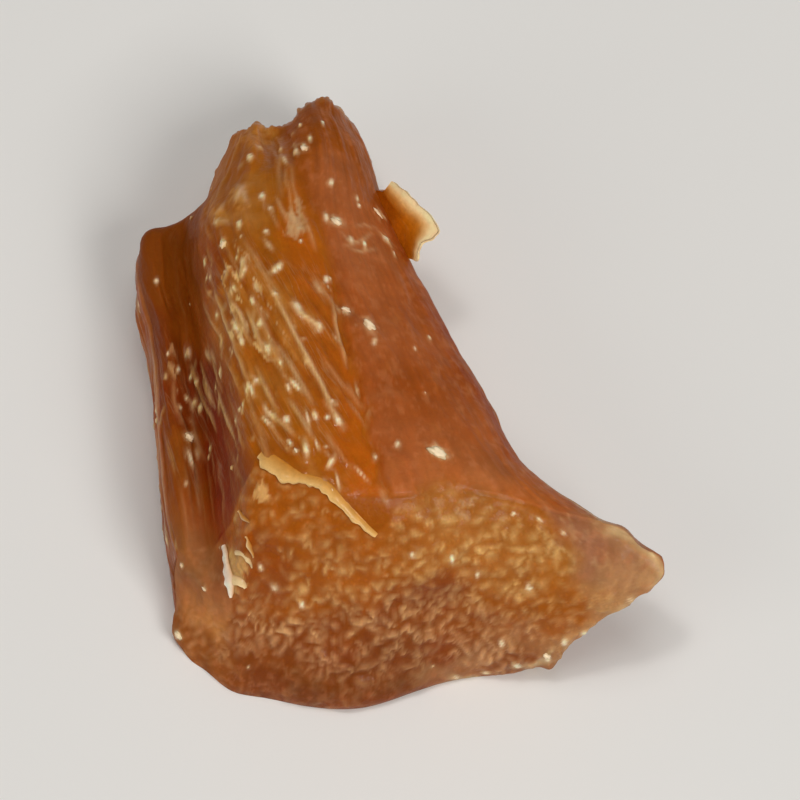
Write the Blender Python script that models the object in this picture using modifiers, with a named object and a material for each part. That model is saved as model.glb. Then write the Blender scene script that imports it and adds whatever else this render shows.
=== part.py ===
"""A chunk of dried ginger rhizome, lying on its flat cut underside.

The chunk is one solid. Its near end (-Y) is an oblique knife cut across the fibres, its far end (+Y)
is torn into two lobes, a low flange runs along its left side behind a groove, and the cut's right
corner runs out into a thin lip. A chip of loose skin stands off the right side.

The form is a coarse cage with Subdivision Surface, trimmed flat at the table by a cutter. The cage is
a cube with loop cuts, whose points are set from sections across the chunk. A section's points are
given as they look from 60 degrees above the table: across, up the view, and height above the table.
Metres, +Z up, origin on the table under the middle of the chunk.
"""

import math

import bmesh
import bpy
from mathutils import Vector

# ---- driving dimensions -----------------------------------------------------------------------
MM = 0.001
UNITS_PER_MM = 7.0  # section units to a millimetre: sets the size of the whole chunk
VIEW_CENTRE = (502.0, 408.7)  # section units, the view's point over the origin
VIEW_ELEVATION = math.radians(60.0)  # the height of the view that the sections are given in
BOX_MIDDLE = (-0.1324, -1.4476)  # mm, the middle of the chunk's box in the sections' own frame
SUBDIVISION_LEVELS = 2
FIT_ROUNDS = 10  # rounds that pull the smooth surface onto the sections
UNDERSIDE_DEPTH = 0.9  # mm, how far the cage's underside lies below the table before the trim
SKIN_CHIP_THICKNESS = 0.75  # mm

# colour of the dried flesh, linear RGB
FLESH_COLOUR = (0.305, 0.094, 0.021, 1.0)
FLESH_ROUGHNESS = 0.42

# ---- sections ---------------------------------------------------------------------------------
# Rows run from the near end to the far end. In a row the points run from the left side to the right:
# flange edge, flange top, groove, ridge, fibrous top (two), skin (two), right edge.
# Each point is (across, down the view, height in mm).
TOP = [
    # upper boundary of the cut end
    [(428, 458, 4.5), (433, 458, 5.1), (441, 456, 5.4), (451.5, 441, 9.2), (463, 438, 10.2),
     (481, 439.5, 10.6), (503, 440, 10.3), (532, 439.5, 9.3), (568, 450.5, 7.9)],
    [(424.5, 430, 4.9), (430.5, 429, 5.6), (438, 427, 5.3), (449.5, 422, 9.2), (460, 420, 10.4),
     (476, 420, 11.0), (496, 420, 10.7), (520, 422, 9.6), (545.5, 431.5, 7.7)],
    [(422.5, 405, 4.9), (428, 404, 5.6), (434.5, 402, 5.1), (445, 396, 8.8), (455, 395, 10.3),
     (470, 395, 11.0), (488, 395, 10.7), (508, 397, 9.5), (529.5, 407, 7.5)],
    [(419, 381, 4.8), (424.5, 379.5, 5.5), (431, 377, 5.0), (440, 372.5, 8.2), (449, 371, 9.9),
     (463, 370, 10.6), (479, 371, 10.4), (496, 373, 9.3), (516, 382.5, 7.3)],
    [(416.8, 360, 4.2), (422, 355.5, 5.0), (429, 354.5, 5.0), (436.5, 350.5, 7.4), (446, 349, 9.3),
     (459, 348, 10.0), (473, 348, 9.9), (487, 349, 9.0), (504, 360, 7.2)],
    [(432.5, 350, 2.6), (435.5, 345, 4.2), (438.5, 340, 5.8), (442.5, 335, 7.4), (450, 332, 8.7),
     (461, 331, 9.1), (473, 330, 9.5), (484.5, 331, 8.7), (495.5, 339, 7.0)],
    [(437, 342, 2.2), (439.5, 335, 4.0), (442.5, 329, 5.8), (447, 324, 7.2), (453.5, 322, 8.1),
     (461.5, 323.5, 7.9), (471, 318, 8.7), (481, 318, 8.3), (490.5, 325, 6.8)],
    [(441, 333, 2.2), (444, 326, 4.0), (447.5, 321, 5.6), (450, 318.5, 6.5), (455, 317.5, 7.0),
     (461, 319, 6.4), (469, 311.5, 7.2), (477, 308.5, 7.2), (485, 314.5, 6.2)],
]
# The cut end below its upper boundary, in three levels down to the table.
CUT_END = [
    [(427.2, 464, 3.2), (434, 470, 3.7), (445, 474, 4.7), (453, 461, 7.2), (465, 460, 7.5),
     (483, 461, 7.8), (508, 461, 7.6), (541, 459, 7.2), (588.5, 466, 6.7)],
    [(427.5, 476, 1.5), (435, 484, 1.9), (447, 489, 2.6), (457, 484, 3.6), (470, 485, 3.9),
     (489, 486, 4.0), (511, 484, 3.9), (538, 481, 3.9), (567, 481, 4.3)],
    [(430.5, 486, 0.0), (438.5, 494, 0.0), (447, 500.5, 0.0), (459, 504, 0.0), (473, 506.5, 0.0),
     (490, 507, 0.0), (506, 502, 0.0), (528, 496.5, 0.3), (550, 489.5, 1.2)],
]
# The torn end below the top, as (x, y, z) in mm in the sections' own frame.
TORN_END = [
    [(-8.9, 10.2, 1.5), (-8.4, 11.0, 2.8), (-7.9, 11.6, 4.0), (-7.2, 12.0, 4.7), (-6.4, 12.3, 4.9),
     (-5.5, 11.9, 4.4), (-4.6, 13.0, 5.2), (-3.4, 13.4, 5.2), (-2.3, 12.6, 4.7)],
    [(-8.9, 10.4, 0.8), (-8.3, 11.4, 1.4), (-7.8, 12.2, 2.2), (-7.1, 12.8, 2.7), (-6.3, 13.1, 2.9),
     (-5.3, 12.7, 2.6), (-4.4, 13.5, 2.9), (-3.2, 13.7, 2.9), (-2.1, 13.0, 2.6)],
    [(-8.7, 10.4, 0.0), (-8.1, 11.4, 0.0), (-7.5, 12.2, 0.0), (-6.8, 12.8, 0.0), (-6.1, 13.1, 0.0),
     (-5.1, 12.9, 0.0), (-4.2, 13.4, 0.0), (-3.1, 13.5, 0.0), (-2.2, 12.8, 0.0)],
]
# The side walls between the ends: for rows 1 to 6, x and y at the upper and lower level and at the
# table, in mm. Heights are set from the row's own edge.
LEFT_WALL = [
    [(-11.3, -6.8), (-11.2, -6.6), (-10.7, -6.5)],
    [(-11.6, -2.6), (-11.5, -2.4), (-10.9, -2.3)],
    [(-12.1, 1.2), (-12.0, 1.4), (-11.4, 1.4)],
    [(-12.4, 4.3), (-12.2, 4.4), (-11.6, 4.3)],
    [(-10.3, 7.3), (-10.5, 7.2), (-10.4, 7.1)],
    [(-9.5, 8.8), (-9.6, 8.9), (-9.5, 8.9)],
]
RIGHT_WALL = [
    [(6.9, -8.4), (6.1, -8.3), (5.2, -8.2)],
    [(4.3, -4.1), (4.2, -4.0), (3.5, -3.9)],
    [(2.3, 0.0), (2.4, 0.2), (1.9, 0.3)],
    [(0.6, 3.6), (0.8, 3.8), (0.4, 4.0)],
    [(-0.7, 7.4), (-0.4, 7.4), (-0.6, 7.4)],
    [(-1.5, 10.2), (-1.2, 10.2), (-1.3, 10.2)],
]
WALL_LEVELS = (2.0 / 3.0, 1.0 / 3.0, 0.0)

# The chip of loose skin: root and tip outline in section units, heights in mm.
SKIN_CHIP = [
    [(490, 343, 7.4), (496, 335.5, 8.0), (502, 336, 8.6)],
    [(493, 350, 7.2), (501.5, 344, 8.1), (509, 343.5, 8.9)],
    [(495, 357, 7.0), (504, 352.5, 7.9), (517, 352, 8.8)],
    [(498, 364, 6.8), (504, 362, 7.4), (507.5, 364, 7.7)],
]


def place(x, y, height):
    """A point in metres, from mm in the sections' own frame to the chunk's frame."""
    return Vector((x - BOX_MIDDLE[0], y - BOX_MIDDLE[1], height)) * MM


def from_view(across, down, height):
    """A point in metres from its place in the view and its height above the table in mm."""
    x = (across - VIEW_CENTRE[0]) / UNITS_PER_MM
    up = (VIEW_CENTRE[1] - down) / UNITS_PER_MM
    y = (up - height * math.cos(VIEW_ELEVATION)) / math.sin(VIEW_ELEVATION)
    return place(x, y, height)


def cage_points():
    """Lattice index to point, for every point on the cage's surface."""
    last_row, last_column, last_level = len(TOP) - 1, len(TOP[0]) - 1, len(CUT_END)
    points = {}
    for j, row in enumerate(TOP):
        for i, p in enumerate(row):
            points[i, j, 0] = from_view(*p)
    for k, level in enumerate(CUT_END, 1):
        for i, p in enumerate(level):
            points[i, 0, k] = from_view(*p)
    for k, level in enumerate(TORN_END, 1):
        for i, p in enumerate(level):
            points[i, last_row, k] = place(*p)
    for column, wall in ((0, LEFT_WALL), (last_column, RIGHT_WALL)):
        for j, levels in enumerate(wall, 1):
            edge = TOP[j][column][2]
            for k, (x, y) in enumerate(levels, 1):
                points[column, j, k] = place(x, y, edge * WALL_LEVELS[k - 1])
    # the underside: below the table, so that the trim leaves a true flat face
    for j in range(len(TOP)):
        left, right = points[0, j, last_level], points[last_column, j, last_level]
        for i in range(last_column + 1):
            rim = points.get((i, j, last_level))
            share = i / last_column
            p = (rim if rim is not None else left.lerp(right, share)).copy()
            p.z -= UNDERSIDE_DEPTH * MM
            points[i, j, last_level] = p
    return points, (last_column, last_row, last_level)


def lattice_cube(name, cells):
    """A cube with loop cuts, one cell to a unit, and each vertex's lattice index."""
    bm = bmesh.new()
    bmesh.ops.create_cube(bm, size=1.0)
    for v in bm.verts:
        v.co = Vector([(v.co[a] + 0.5) * cells[a] for a in range(3)])
    for axis in range(3):
        normal = Vector([float(a == axis) for a in range(3)])
        for step in range(1, cells[axis]):
            bmesh.ops.bisect_plane(
                bm,
                geom=bm.verts[:] + bm.edges[:] + bm.faces[:],
                dist=1e-5,
                plane_co=normal * step,
                plane_no=normal,
            )
    mesh = bpy.data.meshes.new(name)
    bm.to_mesh(mesh)
    bm.free()
    return mesh


def add_object(name, mesh, collection, material=None):
    obj = bpy.data.objects.new(name, mesh)
    collection.objects.link(obj)
    if material is not None:
        mesh.materials.append(material)
    return obj


def subdivide(obj, levels):
    mod = obj.modifiers.new("Smooth form", "SUBSURF")
    mod.levels = levels
    mod.render_levels = levels
    mod.uv_smooth = "NONE"
    return mod


def fit_cage(obj, targets):
    """Move the cage so that its smooth surface passes through the section points."""
    for _ in range(FIT_ROUNDS):
        bpy.context.view_layer.update()
        shaped = obj.evaluated_get(bpy.context.evaluated_depsgraph_get()).data
        for v, target in zip(obj.data.vertices, targets):
            v.co += (target - shaped.vertices[v.index].co) * 0.9
        obj.data.update()


def cutter(name, collection, size, location):
    bm = bmesh.new()
    bmesh.ops.create_cube(bm, size=1.0)
    bmesh.ops.scale(bm, verts=bm.verts, vec=size)
    mesh = bpy.data.meshes.new(name)
    bm.to_mesh(mesh)
    bm.free()
    obj = add_object(name, mesh, collection)
    obj.location = location
    obj.hide_render = True
    obj.display_type = "WIRE"
    return obj


def boolean(obj, other, operation):
    mod = obj.modifiers.new(operation.title(), "BOOLEAN")
    mod.operation = operation
    mod.solver = "EXACT"
    mod.object = other
    return mod


def skin_chip(collection):
    """A small curled flake with its root inside the chunk, to be joined to it."""
    rows, columns = len(SKIN_CHIP), len(SKIN_CHIP[0])
    bm = bmesh.new()
    bmesh.ops.create_grid(bm, x_segments=columns - 1, y_segments=rows - 1, size=0.5)
    for v in bm.verts:
        i = round((v.co.x + 0.5) * (columns - 1))
        j = round((0.5 - v.co.y) * (rows - 1))
        v.co = from_view(*SKIN_CHIP[j][i])
    bm.normal_update()
    mesh = bpy.data.meshes.new("skin_chip")
    bm.to_mesh(mesh)
    bm.free()
    obj = add_object("skin_chip_tool", mesh, collection)
    solid = obj.modifiers.new("Thickness", "SOLIDIFY")
    solid.thickness = SKIN_CHIP_THICKNESS * MM
    solid.offset = -1.0
    subdivide(obj, 1)
    obj.hide_render = True
    obj.display_type = "WIRE"
    return obj


def main():
    for obj in list(bpy.data.objects):
        bpy.data.objects.remove(obj, do_unlink=True)

    scene = bpy.context.scene
    parts = bpy.data.collections.new("dried_ginger")
    tools = bpy.data.collections.new("cutters")
    scene.collection.children.link(parts)
    scene.collection.children.link(tools)

    flesh = bpy.data.materials.new("dried_flesh")
    flesh.use_nodes = True
    surface = flesh.node_tree.nodes["Principled BSDF"]
    surface.inputs["Base Color"].default_value = FLESH_COLOUR
    surface.inputs["Roughness"].default_value = FLESH_ROUGHNESS
    surface.inputs["Metallic"].default_value = 0.0

    points, cells = cage_points()
    mesh = lattice_cube("ginger_piece", cells)
    targets = []
    for v in mesh.vertices:
        i, j, up = (round(c) for c in v.co)
        target = points[i, j, cells[2] - up]
        targets.append(target)
        v.co = target
    piece = add_object("ginger_piece", mesh, parts, flesh)
    subdivide(piece, SUBDIVISION_LEVELS)
    fit_cage(piece, targets)
    mesh.shade_smooth()

    boolean(piece, skin_chip(tools), "UNION")
    table = cutter(
        "table_cutter", tools, Vector((60.0, 60.0, 20.0)) * MM, Vector((0.0, 0.0, -10.0)) * MM
    )
    boolean(piece, table, "DIFFERENCE")
    bpy.context.view_layer.update()


main()
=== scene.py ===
"""Looks of the dried ginger chunk: the fine surface, the flakes, the finish, and a plain pale studio.

Lengths in this file are in mm in the sections' own frame, and become metres in the row's frame when a
mesh is written. A point is often given as it looks from 60 degrees above the table: (across, down),
seven units to a millimetre.
"""

import math

import bmesh
import bpy
import numpy as np
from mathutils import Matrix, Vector
from mathutils.kdtree import KDTree


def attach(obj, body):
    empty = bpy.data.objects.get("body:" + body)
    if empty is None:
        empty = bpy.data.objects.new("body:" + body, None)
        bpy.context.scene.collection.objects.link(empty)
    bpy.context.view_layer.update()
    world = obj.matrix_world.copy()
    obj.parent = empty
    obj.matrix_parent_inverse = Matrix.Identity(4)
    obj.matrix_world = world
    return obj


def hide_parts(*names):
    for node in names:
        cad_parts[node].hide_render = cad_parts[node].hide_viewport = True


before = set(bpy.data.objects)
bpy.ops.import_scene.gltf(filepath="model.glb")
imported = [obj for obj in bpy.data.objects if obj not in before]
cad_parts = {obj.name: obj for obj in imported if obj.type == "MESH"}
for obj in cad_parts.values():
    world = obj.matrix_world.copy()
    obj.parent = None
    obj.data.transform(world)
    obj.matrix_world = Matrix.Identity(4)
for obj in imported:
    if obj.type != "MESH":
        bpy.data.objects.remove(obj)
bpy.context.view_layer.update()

# ---- the chunk's form, as in its solid model ------------------------------------------------------
MM = 0.001
UNITS_PER_MM = 7.0
VIEW_CENTRE = (502.0, 408.7)
SIN_E, COS_E = math.sin(math.radians(60.0)), math.cos(math.radians(60.0))
BOX_MIDDLE = (-0.1324, -1.4476)
FIT_ROUNDS = 10
UNDERSIDE_DEPTH = 0.9

TOP = [
    [(428, 458, 4.5), (433, 458, 5.1), (441, 456, 5.4), (451.5, 441, 9.2), (463, 438, 10.2),
     (481, 439.5, 10.6), (503, 440, 10.3), (532, 439.5, 9.3), (568, 450.5, 7.9)],
    [(424.5, 430, 4.9), (430.5, 429, 5.6), (438, 427, 5.3), (449.5, 422, 9.2), (460, 420, 10.4),
     (476, 420, 11.0), (496, 420, 10.7), (520, 422, 9.6), (545.5, 431.5, 7.7)],
    [(422.5, 405, 4.9), (428, 404, 5.6), (434.5, 402, 5.1), (445, 396, 8.8), (455, 395, 10.3),
     (470, 395, 11.0), (488, 395, 10.7), (508, 397, 9.5), (529.5, 407, 7.5)],
    [(419, 381, 4.8), (424.5, 379.5, 5.5), (431, 377, 5.0), (440, 372.5, 8.2), (449, 371, 9.9),
     (463, 370, 10.6), (479, 371, 10.4), (496, 373, 9.3), (516, 382.5, 7.3)],
    [(416.8, 360, 4.2), (422, 355.5, 5.0), (429, 354.5, 5.0), (436.5, 350.5, 7.4), (446, 349, 9.3),
     (459, 348, 10.0), (473, 348, 9.9), (487, 349, 9.0), (504, 360, 7.2)],
    [(432.5, 350, 2.6), (435.5, 345, 4.2), (438.5, 340, 5.8), (442.5, 335, 7.4), (450, 332, 8.7),
     (461, 331, 9.1), (473, 330, 9.5), (484.5, 331, 8.7), (495.5, 339, 7.0)],
    [(437, 342, 2.2), (439.5, 335, 4.0), (442.5, 329, 5.8), (447, 324, 7.2), (453.5, 322, 8.1),
     (461.5, 323.5, 7.9), (471, 318, 8.7), (481, 318, 8.3), (490.5, 325, 6.8)],
    [(441, 333, 2.2), (444, 326, 4.0), (447.5, 321, 5.6), (450, 318.5, 6.5), (455, 317.5, 7.0),
     (461, 319, 6.4), (469, 311.5, 7.2), (477, 308.5, 7.2), (485, 314.5, 6.2)],
]
CUT_END = [
    [(427.2, 464, 3.2), (434, 470, 3.7), (445, 474, 4.7), (453, 461, 7.2), (465, 460, 7.5),
     (483, 461, 7.8), (508, 461, 7.6), (541, 459, 7.2), (588.5, 466, 6.7)],
    [(427.5, 476, 1.5), (435, 484, 1.9), (447, 489, 2.6), (457, 484, 3.6), (470, 485, 3.9),
     (489, 486, 4.0), (511, 484, 3.9), (538, 481, 3.9), (567, 481, 4.3)],
    [(430.5, 486, 0.0), (438.5, 494, 0.0), (447, 500.5, 0.0), (459, 504, 0.0), (473, 506.5, 0.0),
     (490, 507, 0.0), (506, 502, 0.0), (528, 496.5, 0.3), (550, 489.5, 1.2)],
]
TORN_END = [
    [(-8.9, 10.2, 1.5), (-8.4, 11.0, 2.8), (-7.9, 11.6, 4.0), (-7.2, 12.0, 4.7), (-6.4, 12.3, 4.9),
     (-5.5, 11.9, 4.4), (-4.6, 13.0, 5.2), (-3.4, 13.4, 5.2), (-2.3, 12.6, 4.7)],
    [(-8.9, 10.4, 0.8), (-8.3, 11.4, 1.4), (-7.8, 12.2, 2.2), (-7.1, 12.8, 2.7), (-6.3, 13.1, 2.9),
     (-5.3, 12.7, 2.6), (-4.4, 13.5, 2.9), (-3.2, 13.7, 2.9), (-2.1, 13.0, 2.6)],
    [(-8.7, 10.4, 0.0), (-8.1, 11.4, 0.0), (-7.5, 12.2, 0.0), (-6.8, 12.8, 0.0), (-6.1, 13.1, 0.0),
     (-5.1, 12.9, 0.0), (-4.2, 13.4, 0.0), (-3.1, 13.5, 0.0), (-2.2, 12.8, 0.0)],
]
LEFT_WALL = [
    [(-11.3, -6.8), (-11.2, -6.6), (-10.7, -6.5)],
    [(-11.6, -2.6), (-11.5, -2.4), (-10.9, -2.3)],
    [(-12.1, 1.2), (-12.0, 1.4), (-11.4, 1.4)],
    [(-12.4, 4.3), (-12.2, 4.4), (-11.6, 4.3)],
    [(-10.3, 7.3), (-10.5, 7.2), (-10.4, 7.1)],
    [(-9.5, 8.8), (-9.6, 8.9), (-9.5, 8.9)],
]
RIGHT_WALL = [
    [(6.9, -8.4), (6.1, -8.3), (5.2, -8.2)],
    [(4.3, -4.1), (4.2, -4.0), (3.5, -3.9)],
    [(2.3, 0.0), (2.4, 0.2), (1.9, 0.3)],
    [(0.6, 3.6), (0.8, 3.8), (0.4, 4.0)],
    [(-0.7, 7.4), (-0.4, 7.4), (-0.6, 7.4)],
    [(-1.5, 10.2), (-1.2, 10.2), (-1.3, 10.2)],
]
WALL_LEVELS = (2.0 / 3.0, 1.0 / 3.0, 0.0)

# fine surface: samples round the chunk, along it and down its walls
SAMPLES = (214, 132, 86)


# ---- small tools ----------------------------------------------------------------------------------
def from_view(across, down, height):
    x = (across - VIEW_CENTRE[0]) / UNITS_PER_MM
    up = (VIEW_CENTRE[1] - down) / UNITS_PER_MM
    return np.array([x, (up - height * COS_E) / SIN_E, height])


def to_view(p):
    """(across, down, nearness in mm) of points in mm."""
    across = VIEW_CENTRE[0] + UNITS_PER_MM * p[:, 0]
    down = VIEW_CENTRE[1] - UNITS_PER_MM * (SIN_E * p[:, 1] + COS_E * p[:, 2])
    return across, down, SIN_E * p[:, 2] - COS_E * p[:, 1]


def to_row(p):
    """Metres in the row's frame from mm in the sections' own frame."""
    return (np.asarray(p) - np.array([BOX_MIDDLE[0], BOX_MIDDLE[1], 0.0])) * MM


def step(low, high, value):
    t = np.clip((value - low) / (high - low), 0.0, 1.0)
    return t * t * (3.0 - 2.0 * t)


def bell(distance, width):
    return np.exp(-((distance / width) ** 2))


def mix(a, b, share):
    share = np.asarray(share)[..., None]
    return a * (1.0 - share) + np.asarray(b) * share


def linear(r, g, b):
    c = np.array([r, g, b], float) / 255.0
    return np.where(c <= 0.04045, c / 12.92, ((c + 0.055) / 1.055) ** 2.4)


def scramble(x, y, z, seed):
    h = (
        x.astype(np.uint32) * np.uint32(374761393)
        + y.astype(np.uint32) * np.uint32(668265263)
        + z.astype(np.uint32) * np.uint32(2246822519)
        + np.uint32((seed * 3266489917) & 0xFFFFFFFF)
    )
    h = (h ^ (h >> np.uint32(15))) * np.uint32(2246822519)
    h = (h ^ (h >> np.uint32(13))) * np.uint32(3266489917)
    return h ^ (h >> np.uint32(16))


def noise(p, seed=0):
    """Smooth noise between about -1 and 1."""
    p = np.asarray(p) + 512.0
    cell = np.floor(p).astype(np.int64)
    f = p - cell
    w = f * f * f * (f * (f * 6.0 - 15.0) + 10.0)
    total = np.zeros(len(p))
    for dx in (0, 1):
        for dy in (0, 1):
            for dz in (0, 1):
                h = scramble(cell[:, 0] + dx, cell[:, 1] + dy, cell[:, 2] + dz, seed)
                gx = (h & np.uint32(1023)).astype(float) / 511.5 - 1.0
                gy = ((h >> np.uint32(10)) & np.uint32(1023)).astype(float) / 511.5 - 1.0
                gz = ((h >> np.uint32(20)) & np.uint32(1023)).astype(float) / 511.5 - 1.0
                weight = (
                    (w[:, 0] if dx else 1.0 - w[:, 0])
                    * (w[:, 1] if dy else 1.0 - w[:, 1])
                    * (w[:, 2] if dz else 1.0 - w[:, 2])
                )
                total += weight * (
                    gx * (f[:, 0] - dx) + gy * (f[:, 1] - dy) + gz * (f[:, 2] - dz)
                )
    return total * 1.4


def layered(p, seed, octaves=3, gain=0.5):
    total, size = np.zeros(len(p)), 1.0
    for k in range(octaves):
        total += size * noise(p * 2.0**k, seed + 17 * k)
        size *= gain
    return total


def grains(p, seed=0):
    """Distance to the nearest and the second nearest grain centre, and a number for each grain."""
    p = np.asarray(p) + 512.0
    cell = np.floor(p).astype(np.int64)
    near = np.full(len(p), 9.0)
    second = np.full(len(p), 9.0)
    label = np.zeros(len(p))
    for dx in (-1, 0, 1):
        for dy in (-1, 0, 1):
            for dz in (-1, 0, 1):
                c = cell + np.array([dx, dy, dz])
                h = scramble(c[:, 0], c[:, 1], c[:, 2], seed)
                point = c + np.stack(
                    [
                        (h & np.uint32(1023)).astype(float) / 1023.0,
                        ((h >> np.uint32(10)) & np.uint32(1023)).astype(float) / 1023.0,
                        ((h >> np.uint32(20)) & np.uint32(1023)).astype(float) / 1023.0,
                    ],
                    axis=1,
                )
                d = np.linalg.norm(point - p, axis=1)
                nearer = d < near
                second = np.where(nearer, near, np.minimum(second, d))
                label = np.where(nearer, (h % np.uint32(997)).astype(float) / 997.0, label)
                near = np.where(nearer, d, near)
    return near, second, label


def along_line(x, points):
    """Height of the line through points at x."""
    xs, ys = zip(*points)
    return np.interp(x, xs, ys)


def in_outline(across, down, outline, soft):
    """1 inside a closed outline given in view units, falling to 0 over soft units at its edge."""
    inside = np.zeros(len(across), bool)
    distance = np.full(len(across), 1e9)
    n = len(outline)
    for k in range(n):
        (x0, y0), (x1, y1) = outline[k], outline[(k + 1) % n]
        crosses = (y0 > down) != (y1 > down)
        with np.errstate(divide="ignore", invalid="ignore"):
            at = (x1 - x0) * (down - y0) / (y1 - y0 + 1e-12) + x0
        inside ^= crosses & (across < at)
        t = np.clip(
            ((across - x0) * (x1 - x0) + (down - y0) * (y1 - y0))
            / ((x1 - x0) ** 2 + (y1 - y0) ** 2 + 1e-12),
            0.0,
            1.0,
        )
        distance = np.minimum(
            distance, np.hypot(across - x0 - t * (x1 - x0), down - y0 - t * (y1 - y0))
        )
    signed = np.where(inside, distance, -distance)
    return step(-soft, soft, signed)


# ---- the smooth form ------------------------------------------------------------------------------
def cage_points():
    last_row, last_column, last_level = len(TOP) - 1, len(TOP[0]) - 1, len(CUT_END)
    points = {}
    for j, row in enumerate(TOP):
        for i, p in enumerate(row):
            points[i, j, 0] = from_view(*p)
    for k, level in enumerate(CUT_END, 1):
        for i, p in enumerate(level):
            points[i, 0, k] = from_view(*p)
    for k, level in enumerate(TORN_END, 1):
        for i, p in enumerate(level):
            points[i, last_row, k] = np.array(p)
    for column, wall in ((0, LEFT_WALL), (last_column, RIGHT_WALL)):
        for j, levels in enumerate(wall, 1):
            edge = TOP[j][column][2]
            for k, (x, y) in enumerate(levels, 1):
                points[column, j, k] = np.array([x, y, edge * WALL_LEVELS[k - 1]])
    for j in range(last_row + 1):
        left, right = points[0, j, last_level], points[last_column, j, last_level]
        for i in range(last_column + 1):
            rim = points.get((i, j, last_level))
            share = i / last_column
            p = (rim if rim is not None else left * (1.0 - share) + right * share).copy()
            p[2] -= UNDERSIDE_DEPTH
            points[i, j, last_level] = p
    return points, (last_column, last_row, last_level)


def smooth_form():
    """The subdivided cage as a grid of points, 16 to a cell, in mm, by lattice index."""
    points, cells = cage_points()
    bm = bmesh.new()
    bmesh.ops.create_cube(bm, size=1.0)
    for v in bm.verts:
        v.co = Vector([(v.co[a] + 0.5) * cells[a] for a in range(3)])
    for axis in range(3):
        normal = Vector([float(a == axis) for a in range(3)])
        for at in range(1, cells[axis]):
            bmesh.ops.bisect_plane(
                bm,
                geom=bm.verts[:] + bm.edges[:] + bm.faces[:],
                dist=1e-5,
                plane_co=normal * at,
                plane_no=normal,
            )
    mesh = bpy.data.meshes.new("cage")
    bm.to_mesh(mesh)
    bm.free()
    where = mesh.attributes.new("lattice", "FLOAT_VECTOR", "POINT")
    targets = []
    for v in mesh.vertices:
        i, j, up = (round(c) for c in v.co)
        where.data[v.index].vector = (i, j, cells[2] - up)
        target = Vector(points[i, j, cells[2] - up])
        targets.append(target)
        v.co = target
    obj = bpy.data.objects.new("cage", mesh)
    bpy.context.scene.collection.objects.link(obj)
    mod = obj.modifiers.new("Smooth form", "SUBSURF")
    mod.levels = mod.render_levels = 2
    for _ in range(FIT_ROUNDS):
        bpy.context.view_layer.update()
        shaped = obj.evaluated_get(bpy.context.evaluated_depsgraph_get()).data
        for v, target in zip(mesh.vertices, targets):
            v.co += (target - shaped.vertices[v.index].co) * 0.9
        mesh.update()
    mod.levels = mod.render_levels = 4
    bpy.context.view_layer.update()
    shaped = obj.evaluated_get(bpy.context.evaluated_depsgraph_get()).data
    n = len(shaped.vertices)
    co, lat = np.zeros(n * 3, np.float32), np.zeros(n * 3, np.float32)
    shaped.vertices.foreach_get("co", co)
    shaped.attributes["lattice"].data.foreach_get("vector", lat)
    index = np.rint(lat.reshape(-1, 3) * 16.0).astype(int)
    grid = np.full([c * 16 + 1 for c in cells] + [3], np.nan)
    grid[index[:, 0], index[:, 1], index[:, 2]] = co.reshape(-1, 3)
    bpy.data.objects.remove(obj, do_unlink=True)
    bpy.data.meshes.remove(mesh)
    return grid, cells


def resample(values, at, axis):
    """Cubic resampling of a grid of points along one axis, at a number of places or at given ones."""
    values = np.moveaxis(values, axis, 0)
    last = len(values) - 1
    at = np.linspace(0.0, last, at) if np.isscalar(at) else at
    i = np.minimum(np.floor(at).astype(int), last - 1)
    f = (at - i)[:, None, None]
    a, b = values[np.maximum(i - 1, 0)], values[i]
    c, d = values[i + 1], values[np.minimum(i + 2, last)]
    out = 0.5 * (
        2.0 * b
        + (c - a) * f
        + (2.0 * a - 5.0 * b + 4.0 * c - d) * f**2
        + (3.0 * b - a - 3.0 * c + d) * f**3
    )
    return np.moveaxis(out, 0, axis)


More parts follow.
